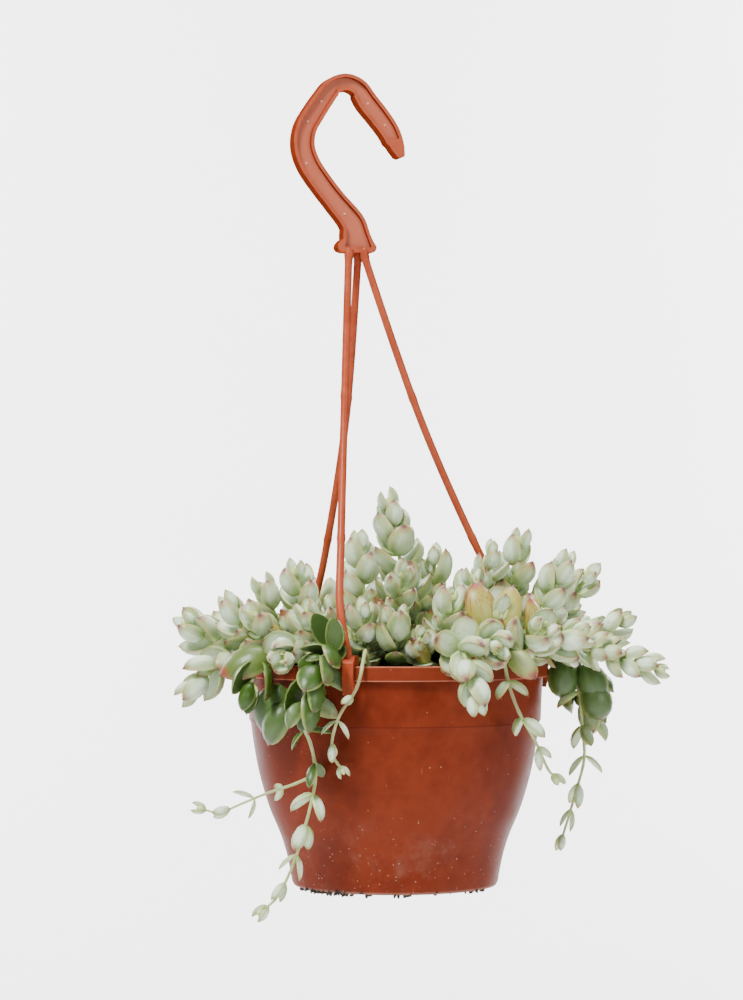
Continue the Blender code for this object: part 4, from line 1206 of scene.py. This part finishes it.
def modelLeaf(kind):
    width, depth, fullness, hollow, curl = leafKinds[kind]
    deep = leafModel["depthShare"] * depth
    clearSelection()
    bpy.ops.mesh.primitive_circle_add(vertices=leafModel["sides"], radius=1.0, fill_type="NGON",
                                      location=(0.0, leafModel["stations"][0][0], 0.0),
                                      rotation=(math.radians(-90.0), 0.0, 0.0))
    leaf = bpy.context.object
    leaf.name = kind + "Leaf"
    halves = []
    for share, spread in leafModel["stations"]:
        spread = spread ** (fullness / leafModel["usualFullness"])
        halves.append((share, 0.5 * width * spread, deep * spread ** leafModel["depthCurve"]))
    leaf.scale = (halves[0][1], halves[0][2], 1.0)
    placeInMesh(leaf)
    bpy.ops.object.mode_set(mode="EDIT")
    for (share, half, below), (nextShare, nextHalf, nextBelow) in zip(halves, halves[1:]):
        bpy.ops.mesh.extrude_region_move(
            TRANSFORM_OT_translate={"value": (0.0, nextShare - share, 0.0)})
        bpy.ops.transform.resize(value=(nextHalf / half, 1.0, nextBelow / below),
                                 center_override=(0.0, nextShare, 0.0))
    bpy.ops.mesh.extrude_region_move(
        TRANSFORM_OT_translate={"value": (0.0, leafModel["tip"], 0.0)})
    bpy.ops.mesh.merge(type="CENTER")
    bpy.ops.mesh.select_all(action="SELECT")
    bpy.ops.mesh.normals_make_consistent(inside=False)
    bpy.ops.mesh.select_all(action="DESELECT")
    bpy.ops.object.mode_set(mode="OBJECT")
    for vert in leaf.data.vertices:
        vert.select = vert.co.z > 1e-4
    bpy.ops.object.mode_set(mode="EDIT")
    bpy.ops.mesh.select_mode(type="VERT")
    flat = (leafModel["flatness"] - hollow * width) / deep
    bpy.ops.transform.resize(value=(1.0, 1.0, flat), center_override=(0.0, 0.0, 0.0))
    bpy.ops.object.mode_set(mode="OBJECT")
    leaf.data.attributes.new("leafPlace", "FLOAT_VECTOR", "POINT")
    leaf.data.attributes.new("leafLook", "FLOAT_COLOR", "POINT")
    leaf.data.attributes.new("leafSeed", "FLOAT", "POINT")
    place = leaf.data.attributes["leafPlace"]
    for vert, spot in zip(leaf.data.vertices, place.data):
        half = min(halves, key=lambda h: abs(h[0] - vert.co.y))[1]
        if vert.co.y > 0.99:   # the tip
            spot.vector = (0.0, 1.0, 0.0)
        else:
            spot.vector = (vert.co.x / half, vert.co.y, vert.co.z / depth)
    for vert in leaf.data.vertices:   # the upward bend
        vert.co.z += curl * vert.co.y * abs(vert.co.y)
    shadeSmooth(leaf, 52)
    return leaf


baseLeaves = {kind: modelLeaf(kind) for kind in leafKinds}
leafMaterial = makeLeafSkin()
stemMaterial = makeStemSkin()
print("leaves of", len(baseLeaves), "kinds modelled")


# The whole plant, one piece for each leafy stem

looks = {   # bloom, gold, blush, fresh
    "frosted": (1.0, 0.0, 0.55, 0.0),
    "worn": (0.68, 0.05, 0.65, 0.0),
    "dark": (0.03, 0.0, 0.08, 0.0),
    "deep": (0.34, 0.0, 0.30, 0.0),
    "golden": (0.10, 0.78, 1.0, 0.40),
    "yellow": (0.12, 0.66, 0.5, 0.60),
    "ripening": (0.25, 0.25, 0.9, 0.15),
    "glossy": (0.02, 0.0, 1.0, 0.10),
    "young": (0.55, 0.0, 0.1, 0.75),
}
# the undergrowth's dark and deep looks are old leaves that lost their bloom, and partly painted
# shade for the inside of the plant
stemLooks = {"right_gold": ("golden", "golden", "frosted"), "under_left": ("dark",),
             "under_lip": ("dark",), "right_under": ("dark", "dark", "deep"),
             "back_under": ("dark", "deep"), "trail_left": ("dark", "frosted", "frosted"),
             "heart": ("deep", "worn", "frosted"), "left_low": ("worn", "frosted"),
             "undergrowth": ("dark", "deep", "deep", "worn")}
usualLooks = ("worn", "frosted", "frosted", "frosted")
lookChances = {"alsoWorn": 0.10, "lowPart": 0.3, "turned": 0.22, "draw": 0.08}

oldLeaves = (   # node, foot, way it grows, way it faces, length, kind, look
    ("stem_right_gold", (40.0, -50.0, 13.0), (-0.16, -0.25, 1.0), (0.35, -1.0, -0.1), 23.0,
     "old", "golden"),
    ("stem_right_gold", (45.0, -48.0, 12.0), (0.22, -0.12, 1.0), (-0.30, -1.0, 0.0), 23.0,
     "old", "yellow"),
    ("stem_right_shoulder", (60.0, -40.0, 11.0), (0.15, -0.35, 1.0), (0.9, -1.0, 0.0), 18.0,
     "old", "golden"),
    ("stem_mid_low", (14.0, -56.0, 0.0), (-0.35, -0.45, 0.9), (0.6, -1.0, 0.2), 14.0,
     "old", "golden"),
    ("stem_left_middle", (-49.0, -33.0, 8.0), (-0.45, -0.75, 0.8), (0.5, -0.7, 0.8), 16.0,
     "old", "golden"),
    ("stem_under_left", (-53.0, -49.0, 5.0), (-0.85, -0.30, -0.20), (0.1, -0.9, 0.65), 25.0,
     "old", "glossy"),
    ("stem_arm_left", (-35.0, -57.0, 5.0), (0.72, -0.45, -0.50), (0.1, -0.8, 0.8), 23.0,
     "old", "dark"),
    ("stem_under_left", (-49.0, -49.0, -9.0), (-0.50, 0.10, -0.80), (-0.5, -1.0, 0.1), 23.0,
     "broad", "dark"),
    ("stem_under_left", (-46.0, -53.0, -16.0), (-0.55, -0.02, -0.80), (-0.7, -1.0, 0.5), 21.0,
     "boat", "dark"),
    ("stem_under_left", (-41.0, -53.0, -16.0), (0.85, -0.50, -0.18), (0.2, -0.6, 1.0), 19.0,
     "boat", "deep"),
    ("stem_right_under", (76.0, -5.0, 1.5), (0.05, -0.15, -1.0), (0.2, -1.0, 0.2), 18.0,
     "round", "dark"),
    ("stem_right_under", (86.0, -4.0, -1.0), (0.35, -0.15, -0.9), (-0.2, -1.0, 0.2), 18.0,
     "round", "dark"),
    ("stem_right_under", (88.5, -3.0, -9.0), (0.30, -0.20, -0.9), (0.1, -1.0, 0.2), 18.5,
     "round", "dark"),
    ("stem_right_front", (50.0, -54.0, 5.0), (0.55, -0.60, -0.45), (0.0, -0.9, 0.7), 17.0,
     "boat", "ripening"),
)


def lookOf(stem, leaf, draw):
    usual = stemLooks.get(stem["name"].split("_")[0], usualLooks)
    name = pickAt(stemLooks.get(stem["name"], usual), leaf["part"])
    if name == "frosted" and draw.random() < lookChances["alsoWorn"]:
        name = "worn"
    if (leaf["part"] < lookChances["lowPart"] and name == "worn"
            and draw.random() < lookChances["turned"]):
        name = draw.choice(("ripening", "deep", "deep"))
    reach = lookChances["draw"]
    return [min(max(value + draw.uniform(-reach, reach) * (value > 0), 0.0), 1.0)
            for value in looks[name]]


def growLeaf(kind, matrix, look, seed):
    leaf = copyOf(baseLeaves[kind], "leaf")
    mesh = leaf.data
    mesh.transform(matrix)
    count = len(mesh.vertices)
    mesh.attributes["leafLook"].data.foreach_set("color", list(look) * count)
    mesh.attributes["leafSeed"].data.foreach_set("value", [seed] * count)
    coverWith(leaf, leafMaterial)
    return leaf


shootModel = {"stemRoundness": 2, "joint": 1.10, "trailingWidth": 0.78, "widths": (0.94, 1.04),
              "depths": (0.92, 1.06), "seeds": 40.0,
              "tips": ((24, 0.34), (12, 0.22))}   # tilt and size of the youngest, closed leaves


def growStem(stem):
    route = smoothRoute(stem["root"] + list(stem["points"]), 4 * len(stem["points"]) + 10)
    last = len(route) - 1
    radii = []
    for i in range(last + 1):
        joint = shootModel["joint"] if i % 3 == 0 else 1.0
        radii.append(stem["radius"] * (1.0 - plan["stemThinning"] * i / last) * joint)
    tube = drawTube("stem", route, radii, shootModel["stemRoundness"])
    placeInMesh(tube, toPot)
    coverWith(tube, stemMaterial)
    return tube


def growShoot(stem):
    draw = random.Random("look of " + stem["name"])
    pieces = []
    narrow = shootModel["trailingWidth"] if stem["trailing"] else 1.0
    for leaf in stem["leaves"]:
        shape = Matrix.Diagonal((draw.uniform(*shootModel["widths"]) * narrow, 1.0,
                                 draw.uniform(*shootModel["depths"]) * narrow, 1.0))
        matrix = toPot @ leaf["place"] @ Matrix.Scale(leaf["size"], 4) @ shape
        pieces.append(growLeaf(leaf["kind"], matrix, lookOf(stem, leaf, draw),
                               draw.uniform(0.0, shootModel["seeds"])))
    tip, axis = routeAt(stem["leafy"], 1.0)
    for k, (tilt, size) in enumerate(shootModel["tips"]):
        for side in (0, 1):
            turn = math.radians(stem["phase"] + 90 * (stem["pairs"] + k) + 180 * side)
            around = Matrix.Rotation(turn, 3, axis) @ sideOf(axis, frontHint)
            place = leafMatrix(tip, axis, around, math.radians(tilt), 0.0)
            matrix = toPot @ place @ Matrix.Scale(stem["longest"] * size, 4)
            pieces.append(growLeaf("bud", matrix, looks["young"],
                                   draw.uniform(0.0, shootModel["seeds"])))
    return pieces + [growStem(stem)]


def keepInBox(piece):   # a tip that would reach outside the solids' box is pressed back in
    for vert in piece.data.vertices:
        for i in range(3):
            vert.co[i] = min(max(vert.co[i], cadBox[0][i]), cadBox[1][i])


def growOldLeaves(nodes):
    for node, foot, way, face, length, kind, look in oldLeaves:
        place = leafFrame(foot, Vector(way).normalized(), -Vector(face))
        matrix = toPot @ place @ Matrix.Scale(length, 4)
        nodes[node].append(growLeaf(kind, matrix, looks[look], length))


def growPlant():
    nodes = {}
    for stem in stems:
        nodes.setdefault(stem["node"], []).extend(growShoot(stem))
    growOldLeaves(nodes)
    below = []
    for stem in undergrowth:
        below += growShoot(stem)
    whole = joinPieces(below, "undergrowth")
    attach(whole, "root")
    for node, pieces in nodes.items():
        whole = joinPieces(pieces, node.replace("stem_", "shoot_"))
        keepInBox(whole)
        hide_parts(node)
        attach(whole, "root")
    for leaf in baseLeaves.values():
        bpy.data.objects.remove(leaf)
    print("plant grown:", len(nodes), "shoots")


growPlant()


# Soil

soilShape = {
    "light": (0.060, 0.038, 0.022, 1.0), "deep": (0.012, 0.008, 0.006, 1.0),
    "fleck": (0.30, 0.22, 0.15, 1.0),
    "side": ((45.0, -98.2), (50.6, -78.0), (60.0, -52.0), (63.4, -26.0)),
    "rings": (64.0, 60.0, 55.0, 50.0, 45.0, 40.0, 34.0, 28.0, 22.0, 16.0, 10.0, 5.0, 1.0),
    "sides": 72, "looseRadius": 63.0, "lumps": 1.3, "lumpScale": 3.2, "lumpMiddle": 0.6,
    "seed": 5, "clodDraw": (0.75, 1.2),
}
crumbPlan = {"count": 260, "radius": 61.0, "sizes": (0.5, 1.5), "shape": (1.0, 0.8, 0.6),
             "height": 0.3}
strayPlan = {   # bits of soil that cling under the pot's foot, most of them at the left
    "count": 84, "atLeft": 64, "leftTurns": (226.0, 11.0), "otherTurns": (240.0, 330.0),
    "radii": (44.2, 46.6), "sizes": (0.4, 1.1), "shape": (1.3, 1.0, 0.8), "drop": 0.4,
    "edge": 45.9, "climb": 1.5,
}
fullTurn = 6.28


def makeEarth():
    material, tree, shader = startMaterial("pottingSoil", 0.92)
    place = objectPlace(tree)
    mottle = mottled(tree, place, 220.0, soilShape["light"], soilShape["deep"])
    tree.links.new(layOver(tree, mottle.outputs["Colour"], speckled(tree, place, 420.0, 0.05, 0.5),
                           0.5, soilShape["fleck"]), shader.inputs["Base Color"])
    addRelief(tree, shader, mottle.outputs["Mask"], 0.0008, 0.8)
    return material


def modelClod(draw):   # one rough lump, copied for every crumb
    clearSelection()
    bpy.ops.mesh.primitive_ico_sphere_add(subdivisions=1, radius=1.0)
    clod = bpy.context.object
    for vert in clod.data.vertices:
        vert.co *= draw.uniform(*soilShape["clodDraw"])
    return clod


def placeCrumb(clod, spot, spin, size, shape):
    crumb = copyOf(clod, "crumb")
    stretch = Matrix.Diagonal((*(size * share for share in shape), 1.0))
    crumb.data.transform(toPot @ Matrix.Translation(spot) @ spin @ stretch)
    return crumb


def scatterCrumbs(clod, draw):
    crumbs = []
    for i in range(crumbPlan["count"]):
        radius = crumbPlan["radius"] * math.sqrt(draw.random())
        turn = draw.uniform(0.0, 2 * math.pi)
        x, y = radius * math.cos(turn), radius * math.sin(turn)
        size = draw.uniform(*crumbPlan["sizes"])
        spot = Vector((x, y, plan["soilEdge"] + soilLift(x, y) + crumbPlan["height"] * size))
        spin = Matrix.Rotation(draw.uniform(0, fullTurn), 4, (draw.random(), draw.random(), 0.5))
        crumbs.append(placeCrumb(clod, spot, spin, size, crumbPlan["shape"]))
    return crumbs


def scatterStrays(clod, draw):
    strays = []
    for i in range(strayPlan["count"]):
        turn = math.radians(draw.gauss(*strayPlan["leftTurns"]) if i < strayPlan["atLeft"]
                            else draw.uniform(*strayPlan["otherTurns"]))
        radius, size = draw.uniform(*strayPlan["radii"]), draw.uniform(*strayPlan["sizes"])
        climb = (radius > strayPlan["edge"]) * draw.uniform(0.0, strayPlan["climb"])
        spot = Vector((radius * math.cos(turn), radius * math.sin(turn),
                       potShape["foot"][-1][1] - strayPlan["drop"] * size + climb))
        spin = Matrix.Rotation(draw.uniform(0, fullTurn), 4, "Y")
        strays.append(placeCrumb(clod, spot, spin, size, strayPlan["shape"]))
    return strays


def modelSoil():
    earth = makeEarth()
    profile = list(soilShape["side"]) + [(r, plan["soilEdge"]) for r in soilShape["rings"]]
    soil = pullRings("pottingSoil", profile, soilShape["sides"])
    ground = [v for v in soil.data.vertices if v.co.z > plan["soilEdge"] - 1.0]
    for vert in ground:
        vert.co.z += soilLift(vert.co.x, vert.co.y)
    top = soil.vertex_groups.new(name="top")
    top.add([v.index for v in soil.data.vertices if v.co.z > plan["soilEdge"] - 1.0
             and math.hypot(v.co.x, v.co.y) < soilShape["looseRadius"]], 1.0, "ADD")
    clods = bpy.data.textures.new("clods", "CLOUDS")
    clods.noise_scale = soilShape["lumpScale"]
    bumps = soil.modifiers.new("clods", "DISPLACE")
    bumps.texture = clods
    bumps.vertex_group = "top"
    bumps.strength = soilShape["lumps"]
    bumps.mid_level = soilShape["lumpMiddle"]
    applyModifiers(soil)
    placeInMesh(soil, toPot)
    draw = random.Random(soilShape["seed"])
    clod = modelClod(draw)
    soil = joinPieces([soil] + scatterCrumbs(clod, draw), "pottingSoil")
    shadeSmooth(soil, 60)
    coverWith(soil, earth)
    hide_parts("soil")
    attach(soil, "root")
    clinging = joinPieces(scatterStrays(clod, draw), "clingingSoil")
    keepInBox(clinging)
    shadeSmooth(clinging, 60)
    coverWith(clinging, earth)
    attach(clinging, "root")
    bpy.data.objects.remove(clod)


modelSoil()
print("soil modelled")


# Studio: a pale sweep far below and behind, and soft lights

studio = {"floor": -0.80, "back": 3.2, "half": 6.0, "height": 5.0, "curve": 1.6,
          "colour": (0.86, 0.86, 0.86, 1.0), "world": (1.0, 1.0, 1.0, 1.0), "worldStrength": 0.37,
          "cloudiness": 0.985}

lamps = (   # name, place, aim, size, power
    ("keyLamp", (-0.70, -1.15, 1.25), (0.02, 0.0, -0.25), 0.65, 76.0),
    ("fillLamp", (1.3, -1.2, 0.15), (0.02, 0.0, -0.25), 0.9, 13.0),
    ("topLamp", (0.15, 0.35, 1.1), (0.02, 0.0, -0.2), 0.8, 20.0),
    ("wallLampLeft", (-1.7, 1.9, 0.9), (-0.1, 3.2, -0.25), 0.7, 150.0),
    ("wallLampRight", (1.7, 1.9, 0.9), (0.1, 3.2, -0.15), 0.7, 165.0),
)


def buildStudio():
    clearSelection()
    bpy.ops.mesh.primitive_plane_add(size=2 * studio["half"],
                                     location=(0.0, studio["back"] - studio["half"],
                                               studio["floor"]))
    sweep = bpy.context.object
    sweep.name = "paleSweep"
    placeInMesh(sweep)
    bpy.ops.object.mode_set(mode="EDIT")
    bpy.ops.mesh.select_mode(type="EDGE")
    bpy.ops.mesh.select_all(action="DESELECT")
    bpy.ops.object.mode_set(mode="OBJECT")
    for edge in sweep.data.edges:
        edge.select = all(sweep.data.vertices[i].co.y > studio["back"] - 0.01
                          for i in edge.vertices)
    bpy.ops.object.mode_set(mode="EDIT")
    bpy.ops.mesh.extrude_region_move(TRANSFORM_OT_translate={"value": (0, 0, studio["height"])})
    bpy.ops.object.mode_set(mode="OBJECT")
    addBevel(sweep, studio["curve"], 24, 60)
    sweep.modifiers["softEdges"].use_clamp_overlap = False
    applyModifiers(sweep)
    shadeSmooth(sweep, 30)
    material, tree, shader = startMaterial("sweepPaper", 0.9)
    deep = tuple(c * studio["cloudiness"] for c in studio["colour"])
    mottle = mottled(tree, objectPlace(tree), 0.8, studio["colour"], deep)
    tree.links.new(mottle.outputs["Colour"], shader.inputs["Base Color"])
    coverWith(sweep, material)
    world = bpy.context.scene.world or bpy.data.worlds.new("softRoom")
    bpy.context.scene.world = world
    world.use_nodes = True
    room = world.node_tree.nodes.get("Background")
    room.inputs["Color"].default_value = studio["world"]
    room.inputs["Strength"].default_value = studio["worldStrength"]
    for name, place, aim, size, power in lamps:
        clearSelection()
        direction = Vector(aim) - Vector(place)
        bpy.ops.object.light_add(type="AREA", location=place,
                                 rotation=direction.to_track_quat("-Z", "Y").to_euler())
        lamp = bpy.context.object
        lamp.name = name
        lamp.data.shape = "DISK"
        lamp.data.size = size
        lamp.data.energy = power
        lamp.visible_camera = False


buildStudio()
print("studio lit")
